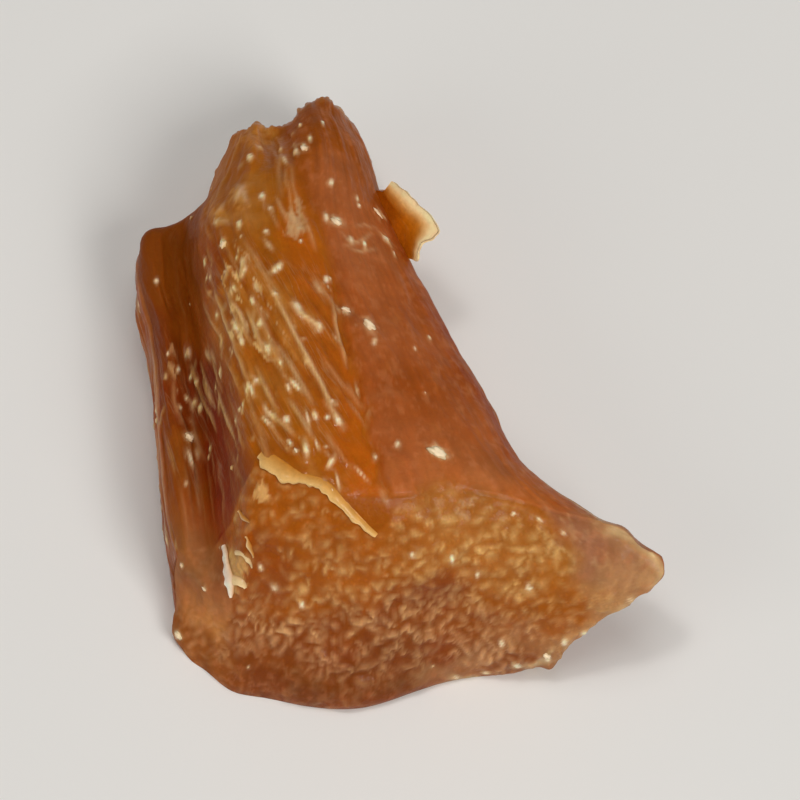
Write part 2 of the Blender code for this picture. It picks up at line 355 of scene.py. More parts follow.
class Skin:
    """The fine surface: points, faces and where each point lies on the lattice."""

    def __init__(self):
        grid, cells = smooth_form()
        nx, ny, nz = self.size = SAMPLES
        # samples lie evenly in mm round, along and down
        top, cut_face = grid[:, :, 0], grid[:, 0]
        walls = np.concatenate([grid[0], grid[-1]])
        widths = (
            np.linalg.norm(np.diff(top, axis=0), axis=2).mean(1) * 0.6
            + np.linalg.norm(np.diff(cut_face, axis=0), axis=2).mean(1) * 0.4,
            np.linalg.norm(np.diff(top, axis=1), axis=2).mean(0),
            np.linalg.norm(np.diff(cut_face, axis=1), axis=2).mean(0) * 0.6
            + np.linalg.norm(np.diff(walls, axis=1), axis=2).mean(0) * 0.4,
        )
        runs = [np.concatenate([[0.0], np.cumsum(d)]) for d in widths]
        self.total = [r[-1] for r in runs]
        ats = [np.interp(np.linspace(0.0, r[-1], n + 1), r, np.arange(len(r))) for r, n in zip(runs, self.size)]
        index = np.full((nx + 1, ny + 1, nz + 1), -1, int)
        shell = np.zeros(index.shape, bool)
        shell[:, :, 0] = shell[:, 0, :] = shell[:, -1, :] = shell[0] = shell[-1] = True
        index[shell] = np.arange(shell.sum())
        self.points = np.zeros((shell.sum(), 3))
        self.faces = []

        def lay(part, a, b, slots, flip):
            patch = resample(resample(part, ats[a], 0), ats[b], 1)
            self.points[slots.ravel()] = patch.reshape(-1, 3)
            quad = np.stack(
                [slots[:-1, :-1], slots[1:, :-1], slots[1:, 1:], slots[:-1, 1:]], axis=-1
            ).reshape(-1, 4)
            self.faces.append(quad[:, ::-1] if flip else quad)

        lay(grid[:, 0], 0, 2, index[:, 0], True)
        lay(grid[:, -1], 0, 2, index[:, -1], False)
        lay(grid[0], 1, 2, index[0], False)
        lay(grid[-1], 1, 2, index[-1], True)
        lay(grid[:, :, 0], 0, 1, index[:, :, 0], False)
        self.faces = np.concatenate(self.faces)
        at = np.argwhere(shell)
        # lattice place of each point in cage cells, and in mm round, along and down
        self.index = index
        self.u, self.v, self.w = (ats[k][at[:, k]] / 16.0 for k in range(3))
        self.a, self.b, self.c = (at[:, k] * self.total[k] / self.size[k] for k in range(3))
        self.on_top = at[:, 2] == 0
        self.on_cut = at[:, 1] == 0
        self.on_back = at[:, 1] == ny
        self.on_left = at[:, 0] == 0
        self.on_right = at[:, 0] == nx
        self.rest = self.points.copy()
        self.update()

    def update(self):
        p, f = self.points, self.faces
        n = np.cross(p[f[:, 2]] - p[f[:, 0]], p[f[:, 3]] - p[f[:, 1]])
        normals = np.zeros_like(p)
        for k in range(4):
            np.add.at(normals, f[:, k], n)
        self.normals = normals / (np.linalg.norm(normals, axis=1, keepdims=True) + 1e-12)
        self.across, self.down, self.near = to_view(p)
        self.facing = self.normals @ np.array([0.0, -COS_E, SIN_E])

    def swell(self, amount):
        self.points = self.points + self.normals * np.asarray(amount)[:, None]
        self.update()

    def pull(self, centre, by, radius):
        """Draw the surface around a point by a vector, as with a grab brush."""
        d = np.linalg.norm(self.points - centre, axis=1)
        self.points = self.points + bell(d, radius)[:, None] * np.asarray(by)[None, :]
        self.update()

    def soften(self, share, rounds):
        """Smooth the surface where share is above 0."""
        f = self.faces
        ends = np.concatenate([f[:, (0, 1)], f[:, (1, 2)], f[:, (2, 3)], f[:, (3, 0)]])
        ends = np.concatenate([ends, ends[:, ::-1]])
        count = np.bincount(ends[:, 0], minlength=len(self.points))[:, None]
        for _ in range(rounds):
            total = np.stack(
                [np.bincount(ends[:, 0], self.points[ends[:, 1], k], len(self.points)) for k in range(3)], axis=1
            )
            self.points = self.points + 0.6 * share[:, None] * (total / count - self.points)
        self.update()

    def tree(self):
        kd = KDTree(len(self.points))
        for k, p in enumerate(self.points):
            kd.insert(p, k)
        kd.balance()
        return kd

    def at_view(self, across, down):
        """Index of the surface point that shows at a place in the view."""
        d = np.hypot(self.across - across, self.down - down)
        close = np.where((d < 1.6) & (self.facing > 0.0))[0]
        if len(close) == 0:
            close = np.argsort(d)[:6]
        best = self.near[close].max()
        close = close[self.near[close] > best - 0.8]
        return close[np.argmin(d[close])]

# ---- colours of dried ginger, linear ----------------------------------------------------------------
def shade(r, g, b):
    """The surface colour that shows as r, g, b under the soft light of the scene."""
    return np.maximum(linear(r, g, b) * 1.36 - 0.024, 0.003)


GOLD = shade(158, 94, 36)
PALE_GOLD = shade(184, 128, 68)
HONEY = shade(156, 84, 30)
AMBER = shade(146, 82, 34)
SKIN = shade(146, 76, 40)
SKIN_PINK = shade(158, 93, 58)
SKIN_DARK = shade(122, 54, 24)
SKIN_PALE = shade(168, 102, 60)
LOBE = shade(140, 77, 34)
FLANGE = shade(132, 72, 34)
FLANGE_TOP = shade(124, 69, 26)
FLANGE_LOW = shade(166, 110, 70)
GROOVE_SHADED = shade(118, 50, 19)
CUT_GOLD = shade(162, 112, 60)
CUT_AMBER = shade(150, 84, 32)
CUT_PINK = shade(136, 82, 48)
RING_BROWN = shade(124, 62, 30)
LIP_RED_SHADED = shade(124, 66, 34)
TIP_PINK = shade(160, 106, 76)
TIP_PALE = shade(178, 136, 94)
CREAM = shade(212, 184, 138)
SCURF = shade(178, 112, 74)
ORANGE = shade(172, 90, 28)
STROKE_GOLD = shade(204, 162, 104)
STROKE_PINK = shade(194, 148, 106)
GAP_GOLD = shade(158, 88, 32)
GAP_PINK = shade(124, 66, 38)
GLINT_WHITE = shade(238, 216, 184)

skin = Skin()
rng = np.random.default_rng(20)


# ---- broad form -----------------------------------------------------------------------------------
def away_from_table(p):
    """0 at the underside, 1 half a millimetre above it, so that the flat cut below stays flat."""
    return step(-0.2, 0.8, p[:, 2])


lumps = layered(skin.rest * [0.21, 0.13, 0.24], 3, 3, 0.5)
knobs = layered(skin.rest * [0.75, 0.55, 0.8], 5, 2, 0.5)
skin.swell((0.20 * lumps + 0.05 * knobs) * away_from_table(skin.points))

# corners and breaks in the outline: (across, down, height), (right, up the view, rise), radius in mm
for at, by, radius in [
    ((419.5, 356.0, 4.6), (-0.25, 0.35, 0.1), 0.9),
    ((428.0, 353.5, 5.0), (0.10, -0.30, 0.0), 0.6),
    ((456.5, 318.0, 6.9), (0.0, 0.22, 0.1), 0.8),
    ((461.5, 319.5, 6.6), (0.0, 0.18, 0.2), 0.6),
    ((448.5, 321.0, 5.9), (-0.25, 0.10, 0.0), 0.6),
    ((478.0, 308.5, 7.2), (0.15, 0.20, 0.0), 0.8),
    ((575.0, 453.0, 7.6), (0.15, 0.35, 0.1), 0.9),
    ((586.0, 462.0, 6.9), (0.25, 0.15, 0.1), 0.7),
    ((428.0, 486.0, 0.6), (-0.20, -0.15, 0.0), 0.8),
    ((551.0, 494.5, 1.4), (0.15, -0.30, 0.0), 0.45),
    ((557.5, 488.5, 2.6), (-0.05, 0.20, 0.0), 0.40),
    ((563.0, 486.5, 3.2), (0.10, -0.25, 0.0), 0.35),
    ((570.5, 479.5, 4.4), (-0.05, 0.15, 0.0), 0.40),
    ((578.0, 475.5, 5.2), (0.10, -0.22, 0.0), 0.35),
    ((584.0, 470.5, 6.0), (0.05, -0.10, 0.0), 0.30),
    ((533.0, 412.0, 7.4), (0.12, 0.05, 0.0), 0.7),
]:
    dx, up, dz = by
    skin.pull(from_view(*at), (dx, up * SIN_E, up * COS_E + dz), radius)

# the top runs over into the cut in one soft curve on the right
turn = bell(np.where(skin.on_top, skin.b, skin.c), 1.3) * (skin.on_top | skin.on_cut)
skin.soften(turn * step(478.0, 500.0, skin.across) * step(580.0, 562.0, skin.across), 60)

across, down = skin.across, skin.down
u, v, w = skin.u, skin.v, skin.w
on_top = skin.on_top
front = skin.on_cut & ~on_top
back = skin.on_back & ~on_top
left = skin.on_left & ~on_top
right = skin.on_right & ~on_top
seen = on_top | skin.on_cut
rest = skin.rest

# ---- where each kind of surface is ----------------------------------------------------------------
wander = layered(rest * 0.55, 31, 3)
blotch = layered(rest * 0.33, 91, 3)
patch = layered(rest * 0.8, 95, 2)


def inside(outline, soft):
    return in_outline(across + 5.0 * wander, down + 4.0 * patch, outline, soft) * seen


# upper boundary of the cut across the fibres, crisp on the left and a slow change on the right
CUT_TOP = [(436, 470), (441, 461), (445, 452), (449, 440), (456, 428), (462, 430), (467, 434), (476, 437.5),
           (485, 446), (494, 453.5), (500, 445), (508, 438), (517, 435), (532, 439), (548, 445), (560, 455),
           (575, 468), (592, 474)]
below_cut_line = (down - along_line(across, CUT_TOP)) / UNITS_PER_MM + 0.16 * wander
slow = step(494.0, 508.0, across)
cut = step(-0.10 - 0.45 * slow, 0.16 + 0.75 * slow, below_cut_line)
CUT_LEFT = [(430, 452), (440, 449), (452, 445.5), (460, 446), (478, 447), (488, 444), (498, 443), (510, 446)]
left_line = np.interp(down, *zip(*CUT_LEFT))
soft_left = step(474.0, 490.0, down)
cut *= step(-0.05 - 0.5 * soft_left, 0.15 + 0.6 * soft_left, (across - left_line) / UNITS_PER_MM + 0.16 * wander)
cut *= seen * (skin.on_cut | (v < 0.8))

# edge of the skin on the right, and the ridge between the fibrous top and the hollow on the left
ridge_u = 2.75 + 0.12 * wander
SKIN_EDGE = [(300, 463), (318, 464), (330, 468), (345, 474), (360, 479), (378, 483), (395, 487), (412, 491),
             (428, 495), (440, 500)]
past_skin = (across - np.interp(down, *zip(*SKIN_EDGE))) / UNITS_PER_MM + 0.20 * wander
blur = step(368.0, 340.0, down)
peel = step(-0.16 - 0.6 * blur, 0.20 + 0.6 * blur, past_skin) * on_top
fibrous = step(-0.2, 0.3, u - ridge_u) * (1.0 - peel) * (1.0 - cut) * on_top
hollow = (1.0 - step(-0.25, 0.2, u - ridge_u)) * on_top * step(5.0, 4.2, v)
skin_zone = peel * (1.0 - cut)
lobe = skin_zone * step(352.0, 338.0, down + 4.0 * wander)
front_left = skin.on_cut * (1.0 - cut) * step(3.3, 2.7, u)
tip = inside([(550, 444), (566, 446), (592, 442), (606, 468), (580, 476), (563, 466)], 4.0)

# the section runs round the chunk, the fibres from the torn end to the cut
round_mm = np.where(left, -skin.c, np.where(right, skin.total[0] + skin.c, skin.a))
along_mm = skin.b
end_face = front | back
flow = np.where(
    end_face[:, None],
    np.stack([rest[:, 0], 1.6 * rest[:, 2], rest[:, 1]], axis=1),
    np.stack([round_mm, along_mm, 0.0 * along_mm], axis=1),
)
flow[:, 0] += np.where(end_face | left | right | (peel > 0.5), 0.0, 0.27 * along_mm)
bend = layered(flow * [0.30, 0.10, 0.3], 37, 2)
bent = flow + np.stack([0.9 * bend, 0.0 * bend, 0.0 * bend], axis=1)
soft_streaks = noise(bent * [0.75, 0.11, 0.5], 41)
streaks = layered(bent * [1.7, 0.20, 0.8], 43, 2, 0.6)
fine_streaks = layered(bent * [4.4, 0.42, 1.2], 47, 2, 0.6)


def threads(spacing, length, seed, sharp):
    """Thin raised lines along the fibres, broken up into lengths."""
    n = noise(bent * [1.0 / spacing, 1.0 / length, 0.5 / spacing], seed)
    return np.clip(1.0 - np.abs(n) * sharp, 0.0, 1.0) ** 1.5


gate = step(-0.05, 0.45, layered(bent * [0.5, 0.14, 0.4], 61, 2))
gate_two = step(0.0, 0.5, layered(bent * [0.8, 0.20, 0.5], 65, 2))
threads_wide = threads(1.5, 7.0, 67, 5.0) * gate
threads_thin = threads(0.8, 4.0, 69, 5.0) * gate_two
heart = inside([(434, 362), (450, 354), (468, 364), (482, 372), (486, 402), (482, 424), (456, 430),
                (447, 412), (440, 386)], 8.0)
busy = 0.30 + 0.70 * heart

# ---- mid-size relief ------------------------------------------------------------------------------
height = np.zeros(len(rest))
height += 0.10 * peel * (1.0 - cut) * step(335.0, 365.0, down)
height -= 0.12 * bell(past_skin + 0.16, 0.16) * (1.0 - cut) * on_top * step(345.0, 372.0, down)
height += fibrous * (0.10 * soft_streaks + busy * (0.050 * streaks + 0.105 * threads_wide + 0.050 * threads_thin))
height += fibrous * 0.08 * noise(flow * [1.7, 0.75, 0.8], 104) + fibrous * 0.035 * layered(bent * [3.0, 1.3, 1.0], 106, 2)
height += skin_zone * (0.06 * soft_streaks + 0.030 * streaks + 0.014 * fine_streaks)
height += skin_zone * 0.05 * layered(rest * [1.2, 0.9, 1.2], 88, 3)
quiet = np.clip(step(396.0, 380.0, down) + step(430.0, 444.0, down), 0.0, 1.0)
height += hollow * (0.06 * soft_streaks + (1.0 - 0.75 * quiet) * (0.05 * streaks + 0.03 * fine_streaks + 0.05 * threads_thin))
height += (left | right) * (0.07 * soft_streaks + 0.05 * streaks + 0.02 * fine_streaks + 0.06 * threads_wide
                            - 0.05 * threads_thin)
torn = np.where(back, 1.0, step(6.7, 7.0, v) * on_top)
height += torn * (0.15 * layered(rest * [1.5, 0.5, 0.8], 71, 3, 0.6))
height += front_left * (0.05 * soft_streaks + 0.04 * layered(rest * 0.9, 73, 2))


def band(points, width):
    best = np.full(len(across), 1e9)
    for (x0, y0), (x1, y1) in zip(points[:-1], points[1:]):
        t = np.clip(((across - x0) * (x1 - x0) + (down - y0) * (y1 - y0))
                    / ((x1 - x0) ** 2 + (y1 - y0) ** 2), 0.0, 1.0)
        best = np.minimum(best, np.hypot(across - x0 - t * (x1 - x0), down - y0 - t * (y1 - y0)))
    return bell(best + 2.0 * wander, width)


# the cut: the ring of the rhizome as a brown band, dots of its bundles, a smooth rim along its lower edge
ring = band([(452, 480), (461, 484), (470, 486), (480, 482.5), (486, 480), (495, 481.5), (501, 477),
             (509, 475.5), (516, 475.5), (523, 472)], 5.0) * cut
outer_ring = band([(525, 479), (532, 481), (539, 483), (546, 487)], 3.0) * cut
LOW_EDGE = [(428, 487), (439, 494), (446, 501), (457, 505), (470, 507), (482, 509), (492, 509), (500, 507),
            (517, 502), (529, 500), (540, 497), (551, 494), (562, 486), (578, 475)]
above_low_edge = along_line(across, LOW_EDGE) - down + 2.0 * wander
rim = step(12.0, 5.0, above_low_edge) * step(532.0, 510.0, across) * skin.on_cut
stipple = cut * (1.0 - 0.75 * rim) * (1.0 - 0.85 * tip)
face = np.stack([rest[:, 0], SIN_E * rest[:, 1] + COS_E * rest[:, 2], rest[:, 2] * 0.5], axis=1)
face = face + 0.16 * np.stack([noise(face * 1.3, 75), noise(face * 1.3, 76), 0.0 * wander], axis=1)
face = face + 0.20 * np.stack([noise(face * 1.7, 72), noise(face * 1.7, 74), 0.0 * wander], axis=1)
ARC_LINE = [(428, 474), (445, 474), (460, 480), (480, 480), (500, 476), (520, 474), (540, 482), (572, 492)]
under_arc = down - along_line(across, ARC_LINE) + 5.0 * patch
lower = step(-3.5, 3.5, under_arc)
lower_soft = step(-12.0, 14.0, under_arc)


def marks(spacing, seed, turn, length, width, arcs):
    """Soft pale marks, one in each cell of an uneven grid over the cut: short strokes and small arcs."""
    table = np.random.default_rng(seed).random((64, 64, 7))
    x, y = face[:, 0] / spacing, face[:, 1] / spacing
    i, j = np.floor(x).astype(int), np.floor(y).astype(int)
    best = np.zeros(len(x))
    for di in (-1, 0, 1):
        for dj in (-1, 0, 1):
            r = table[(i + di) % 64, (j + dj) % 64].T
            dx = (x - (i + di) - 0.10 - 0.80 * r[0]) * spacing
            dy = (y - (j + dj) - 0.10 - 0.80 * r[1]) * spacing
            angle = turn + 2.2 * (r[2] - 0.5)
            c, s = np.cos(angle), np.sin(angle)
            lengthwise, sideways = dx * c + dy * s, dy * c - dx * s
            stroke = np.hypot(lengthwise / (length * (0.55 + 0.90 * r[3])), sideways / (width * (0.75 + 0.5 * r[4])))
            far = np.hypot(lengthwise, sideways)
            radius = 0.60 * length * (0.6 + 0.9 * r[3])
            arc = np.hypot((far - radius) / (0.70 * width), 2.6 * np.clip(0.35 * (r[4] - 0.2) - sideways / (far + 0.05), 0.0, 2.0))
            shape = np.where(r[6] < arcs, arc, stroke)
            best = np.maximum(best, (0.40 + 0.60 * r[5]) * np.exp(-shape**2))
    return best


lean = 0.9 * noise(face * [0.35, 0.35, 0.2], 90) + 0.8 * step(492.0, 520.0, across)
upper_marks = np.maximum(marks(0.60, 11, 0.3 + 0.5 * lean, 0.22, 0.15, 0.10), 0.7 * marks(0.83, 12, 0.4, 0.26, 0.14, 0.2))
lower_marks = np.maximum(marks(0.56, 13, lean, 0.27, 0.14, 0.32), 0.75 * marks(0.76, 14, lean + 1.0, 0.31, 0.13, 0.40))
mealy = layered(face * 3.4, 84, 2)
thin_spread = step(462.0, 446.0, down + 4.0 * patch) * step(500.0, 486.0, across)
uneven = np.clip(0.85 + 0.8 * noise(face * [0.55, 0.65, 0.3], 78), 0.3, 1.25)
light = uneven * np.maximum(upper_marks * np.sqrt(1.0 - lower) * (1.0 - 0.35 * thin_spread), lower_marks * np.sqrt(lower) * (1.0 + 0.10 * ring))
light *= 1.0 - 0.65 * slow * step(1.6, 0.0, below_cut_line)
along_ring = inside([(448, 472), (470, 474), (496, 472), (522, 474), (528, 484), (500, 486), (474, 487), (450, 486)], 4.0)
light *= 1.0 + 0.30 * along_ring
light = np.clip(light * (1.0 + 0.15 * mealy), 0.0, 1.0)
height -= 0.15 * ring + 0.07 * outer_ring
height += 0.13 * rim
height += stipple * ((0.115 + 0.04 * lower) * light + 0.09 * layered(rest * 0.9, 79, 2) + 0.02 * mealy)
height += (0.5 * rim + 0.35 * front_left) * 0.05 * light
height += tip * (0.05 * layered(rest * [1.4, 1.0, 1.2], 86, 2) + 0.03 * layered(rest * [3.2, 1.2, 2.0], 87, 2))
height += rim * 0.03 * layered(rest * [1.0, 1.0, 2.0], 81, 2)
skin.swell(height * away_from_table(skin.points))

# ---- strands, one by one --------------------------------------------------------------------------
kd = skin.tree()
strand_height = np.zeros(len(rest))
strand_shine = np.zeros(len(rest))


def strand(points, width, rise, shine):
    """A raised fibre, or a sunk line, along points on the surface, in mm."""
    points = np.asarray(points)
    middle = points[len(points) // 2]
    reach = max(np.linalg.norm(points - middle, axis=1)) + 3.0 * width
    index = np.array([f[1] for f in kd.find_range(middle, reach)], int)
    n0 = skin.normals[kd.find(middle)[1]]
    index = index[skin.normals[index] @ n0 > 0.1]
    q = skin.points[index]
    best = np.full(len(index), 1e9)
    share = np.zeros(len(index))
    for k, (a, b) in enumerate(zip(points[:-1], points[1:])):
        ab = b - a
        t = np.clip(((q - a) @ ab) / (ab @ ab + 1e-12), 0.0, 1.0)
        off = q - a - t[:, None] * ab
        off -= (off @ n0)[:, None] * n0
        d = np.linalg.norm(off, axis=1)
        share = np.where(d < best, (k + t) / (len(points) - 1), share)
        best = np.minimum(best, d)
    taper = np.sqrt(np.clip(np.sin(np.pi * np.clip(share, 0.02, 0.98)), 0.0, 1.0))
    shape = bell(best, width) * taper
    if rise >= 0.0:
        strand_height[index] = np.maximum(strand_height[index], rise * shape)
    else:
        strand_height[index] += rise * shape
    strand_shine[index] = np.maximum(strand_shine[index], shine * bell(best, 0.8 * width) * taper)


def on_surface(places):
    return [skin.points[skin.at_view(x, y)] for x, y in places]


# the ones that stand out: places in the view, width and rise in mm, and paleness, partly a painted glint
for places, width, rise, shine in [
    ([(459, 371), (464, 380), (470, 392), (476, 403), (480, 411), (484, 418.5)], 0.13, 0.17, 0.85),
    ([(479.5, 374), (481.5, 386), (485, 398)], 0.11, 0.12, 0.55),
    ([(461.5, 390), (466, 397), (470.5, 404), (474, 410)], 0.13, 0.13, 0.60),
    ([(466.5, 376.5), (469.5, 380), (473, 382.5), (476, 385.5)], 0.14, 0.14, 0.95),
    ([(451.8, 361), (450, 365), (448.5, 369)], 0.13, 0.12, 0.80),
    ([(460, 366.3), (463.2, 363.6)], 0.15, 0.12, 0.90),
    ([(441, 372), (444, 380), (446, 386), (449, 392)], 0.14, 0.14, 0.70),
    ([(445, 372), (448, 381), (452, 388)], 0.12, 0.12, 0.55),
    ([(437, 376), (440, 383), (444, 389)], 0.12, 0.12, 0.55),
    ([(453, 373), (457, 382), (461, 392), (464, 401)], 0.15, 0.10, 0.35),
    ([(460, 413.5), (464, 417), (468, 420.5)], 0.15, 0.13, 0.60),
    ([(471, 421), (471.5, 427)], 0.17, 0.11, 0.45),
    ([(482, 426), (479, 430)], 0.15, 0.10, 0.45),
    ([(478, 409), (481, 413), (484, 418)], 0.14, 0.12, 0.70),
    ([(431.5, 391), (432.5, 395)], 0.19, 0.14, 0.95),
    ([(433, 397), (434.5, 402), (436, 406)], 0.15, 0.14, 0.80),
    ([(437, 401), (438.5, 406), (440.5, 411)], 0.17, 0.14, 0.85),
    ([(443, 409), (445, 414), (446.5, 418)], 0.17, 0.13, 0.85),
    ([(438, 392.5), (440, 396)], 0.18, 0.13, 0.75),
    ([(436, 396), (438.5, 403), (441, 411)], 0.12, 0.13, 0.75),
    ([(438.5, 390), (441, 398), (443.5, 406)], 0.11, 0.12, 0.65),
    ([(441.5, 404), (444, 411), (447, 419)], 0.12, 0.13, 0.80),
    ([(427, 402), (427.5, 408), (428.5, 414)], 0.12, 0.08, 0.40),
    ([(446, 365.5), (444, 370.5)], 0.14, 0.12, 0.80),
    ([(446.5, 376), (449.5, 380.5), (452, 386)], 0.13, 0.13, 0.90),
    ([(452, 379), (455, 386), (457.5, 392)], 0.12, 0.12, 0.70),
    ([(447, 390), (450, 396), (453, 403)], 0.12, 0.12, 0.60),
    ([(455, 398), (459, 406), (462, 413)], 0.13, 0.12, 0.60),
    ([(466, 408), (470, 414), (474, 421)], 0.12, 0.12, 0.60),
    ([(488, 411), (494, 407.5), (500, 406.6), (505, 409)], 0.30, 0.07, 0.05),
    ([(499, 433), (507, 436.5), (520, 438.5), (533, 442.5), (546, 450)], 0.24, -0.10, 0.0),
    ([(516, 404), (523, 416), (532, 430), (544, 443)], 0.20, -0.06, 0.0),
    ([(503, 372), (506, 382), (508, 394)], 0.20, -0.05, 0.0),
    ([(434, 400), (436.5, 407), (440, 414), (441.5, 419)], 0.13, 0.16, 0.75),
    ([(440, 392), (441.5, 397)], 0.15, 0.12, 0.60),
    ([(436, 404), (438, 410), (439, 416)], 0.10, 0.10, 0.40),
    ([(444, 411), (446, 417), (449.5, 425)], 0.11, 0.12, 0.75),
    ([(447.5, 413), (449.5, 419), (451.5, 425)], 0.10, 0.10, 0.50),
    ([(424.5, 410), (423.5, 415), (422.8, 420)], 0.13, 0.08, 0.45),
    ([(442, 430), (444, 440), (444.5, 450)], 0.11, 0.10, 0.20),
    ([(438, 426), (440, 438), (441, 449)], 0.11, 0.08, 0.12),
    ([(431, 430), (433, 444)], 0.12, 0.07, 0.10),
    ([(461, 341), (463, 345), (465, 350)], 0.13, 0.10, 0.40),
    ([(470, 357), (473, 363), (477, 370)], 0.12, -0.07, 0.0),
    ([(489, 418), (493, 428), (497, 439)], 0.13, -0.07, 0.0),
    ([(466, 356), (470, 362), (474, 367)], 0.12, -0.06, 0.0),
    ([(495, 344.5), (496.5, 347), (498, 349)], 0.13, 0.10, 0.80),
    ([(497, 353.5), (500, 357)], 0.13, 0.10, 0.75),
    ([(483, 353), (486, 356.5), (490, 356), (493, 353.5)], 0.13, 0.06, 0.40),
    ([(484, 357), (489, 359.8), (495, 358.5)], 0.13, 0.06, 0.38),
    ([(495, 352.5), (498, 355.5), (500, 359)], 0.13, 0.07, 0.50),
    ([(487, 351), (491, 350.4), (495, 352)], 0.12, 0.05, 0.28),
    ([(440.5, 347.5), (442.5, 345), (444, 342.5)], 0.15, 0.08, 0.50),
    ([(439.5, 350), (443, 349), (446.5, 350.5)], 0.14, 0.08, 0.40),
    ([(447.5, 337), (450, 339.5), (451.5, 343.5)], 0.16, 0.08, 0.40),
    ([(450.5, 336.5), (449, 340), (447.5, 343)], 0.18, 0.08, 0.55),
    ([(462, 326), (461.5, 333), (463, 341)], 0.14, 0.08, 0.25),
    ([(466, 330), (466.5, 338), (468.5, 344)], 0.12, 0.07, 0.25),
    ([(505, 395), (510, 410), (515, 425)], 0.20, -0.05, 0.0),
    ([(511, 392), (518, 408), (527, 424)], 0.24, -0.05, 0.0),
    ([(565.5, 451.5), (561.5, 457), (558, 464), (555, 471)], 0.28, -0.10, 0.0),
    ([(571, 453), (578, 457), (584.5, 463)], 0.30, 0.07, 0.0),
]:
    strand(on_surface(places), width, rise, shine)

def walk(face, first, second, run, lean, wobble):
    """Indices of points on a face of the lattice along a line that starts at (first, second) in mm."""
    shape = face.shape
    spans = [skin.total[k] for k in (0, 1, 2) if skin.size[k] + 1 in shape]
    t = np.linspace(0.0, 1.0, max(3, int(abs(run) / 0.4)))
    one = first + lean * abs(run) * t + wobble * 0.1 * np.sin(t * rng.uniform(2.0, 6.0) + rng.uniform(0.0, 6.0))
    two = second + run * t
    one, two = one / spans[0], two / spans[1]
    keep = (one >= 0.0) & (one <= 1.0) & (two >= 0.0) & (two <= 1.0)
    return face[np.rint(one[keep] * (shape[0] - 1)).astype(int), np.rint(two[keep] * (shape[1] - 1)).astype(int)]


TOP_FACE, BACK_FACE = skin.index[:, :, 0], skin.index[:, -1]
LEFT_FACE, RIGHT_FACE = skin.index[0].T, skin.index[-1].T
A, B, C = skin.total
ridge_a = np.interp(2.8, np.sort(u[on_top]), np.sort(skin.a[on_top]))
skin_a = np.interp(5.8, np.sort(u[on_top]), np.sort(skin.a[on_top]))

for _ in range(150):  # fibrous top
    ids = walk(TOP_FACE, rng.uniform(ridge_a, skin_a + 0.5), rng.uniform(1.0, B), -rng.uniform(0.9, 3.6),
               rng.uniform(0.10, 0.50), rng.uniform(0.0, 0.45))
    if len(ids) < 3 or fibrous[ids].mean() < 0.7 or rng.random() > busy[ids].mean():
        continue
    strand(skin.points[ids], rng.uniform(0.07, 0.16), rng.uniform(0.03, 0.12), rng.choice([0.0, 0.0, 0.0, 0.25]))
for _ in range(80):  # hollow and left flange
    ids = walk(TOP_FACE, rng.uniform(0.3, ridge_a), rng.uniform(1.0, 0.72 * B), -rng.uniform(1.5, 5.0),
               rng.uniform(0.0, 0.30), rng.uniform(0.0, 1.0))
    if len(ids) >= 3:
        strand(skin.points[ids], rng.uniform(0.07, 0.16), rng.choice([-1.0, 1.0]) * rng.uniform(0.03, 0.08),
               rng.choice([0.0, 0.0, 0.10, 0.2]) * (1.0 - quiet[ids[0]]))
for _ in range(22):  # faint sunk wrinkles in the skin
    ids = walk(TOP_FACE, rng.uniform(skin_a, A), rng.uniform(4.0, B), -rng.uniform(4.0, 9.0),
               rng.uniform(-0.02, 0.10), rng.uniform(0.4, 1.5))
    if len(ids) >= 3:
        strand(skin.points[ids], rng.uniform(0.14, 0.28), -rng.uniform(0.02, 0.05), 0.0)
for side_face, count in ((LEFT_FACE, 90), (RIGHT_FACE, 110)):
    for _ in range(count):
        ids = walk(side_face, rng.uniform(0.2, 0.9 * C), rng.uniform(1.0, B), -rng.uniform(1.5, 6.0),
                   rng.uniform(-0.08, 0.08), rng.uniform(0.0, 1.0))
        if len(ids) < 3:
            continue
        sunk = rng.random() < 0.4
        strand(skin.points[ids], rng.uniform(0.09, 0.22),
               -rng.uniform(0.04, 0.13) if sunk else rng.uniform(0.04, 0.15),
               0.0 if sunk else rng.choice([0.0, 0.0, 0.15, 0.35]))
for _ in range(120):  # fibre ends on the torn end
    ids = walk(BACK_FACE, rng.uniform(0.2, A - 0.2), rng.uniform(0.0, 0.85 * C), rng.uniform(0.4, 1.3),
               rng.uniform(-0.3, 0.3), 0.0)
    if len(ids) >= 3:
        strand(skin.points[ids], rng.uniform(0.09, 0.22), rng.uniform(0.05, 0.18), rng.choice([0.0, 0.2, 0.4]))
skin.swell(strand_height * away_from_table(skin.points) * (1.0 - 0.7 * cut))

# ---- small dried crumbs and blisters on the surface, with painted glints on their tops --------------
crumb_glint = np.zeros(len(rest))
kd = skin.tree()
ruffle = layered(skin.points * 2.6, 85, 2)
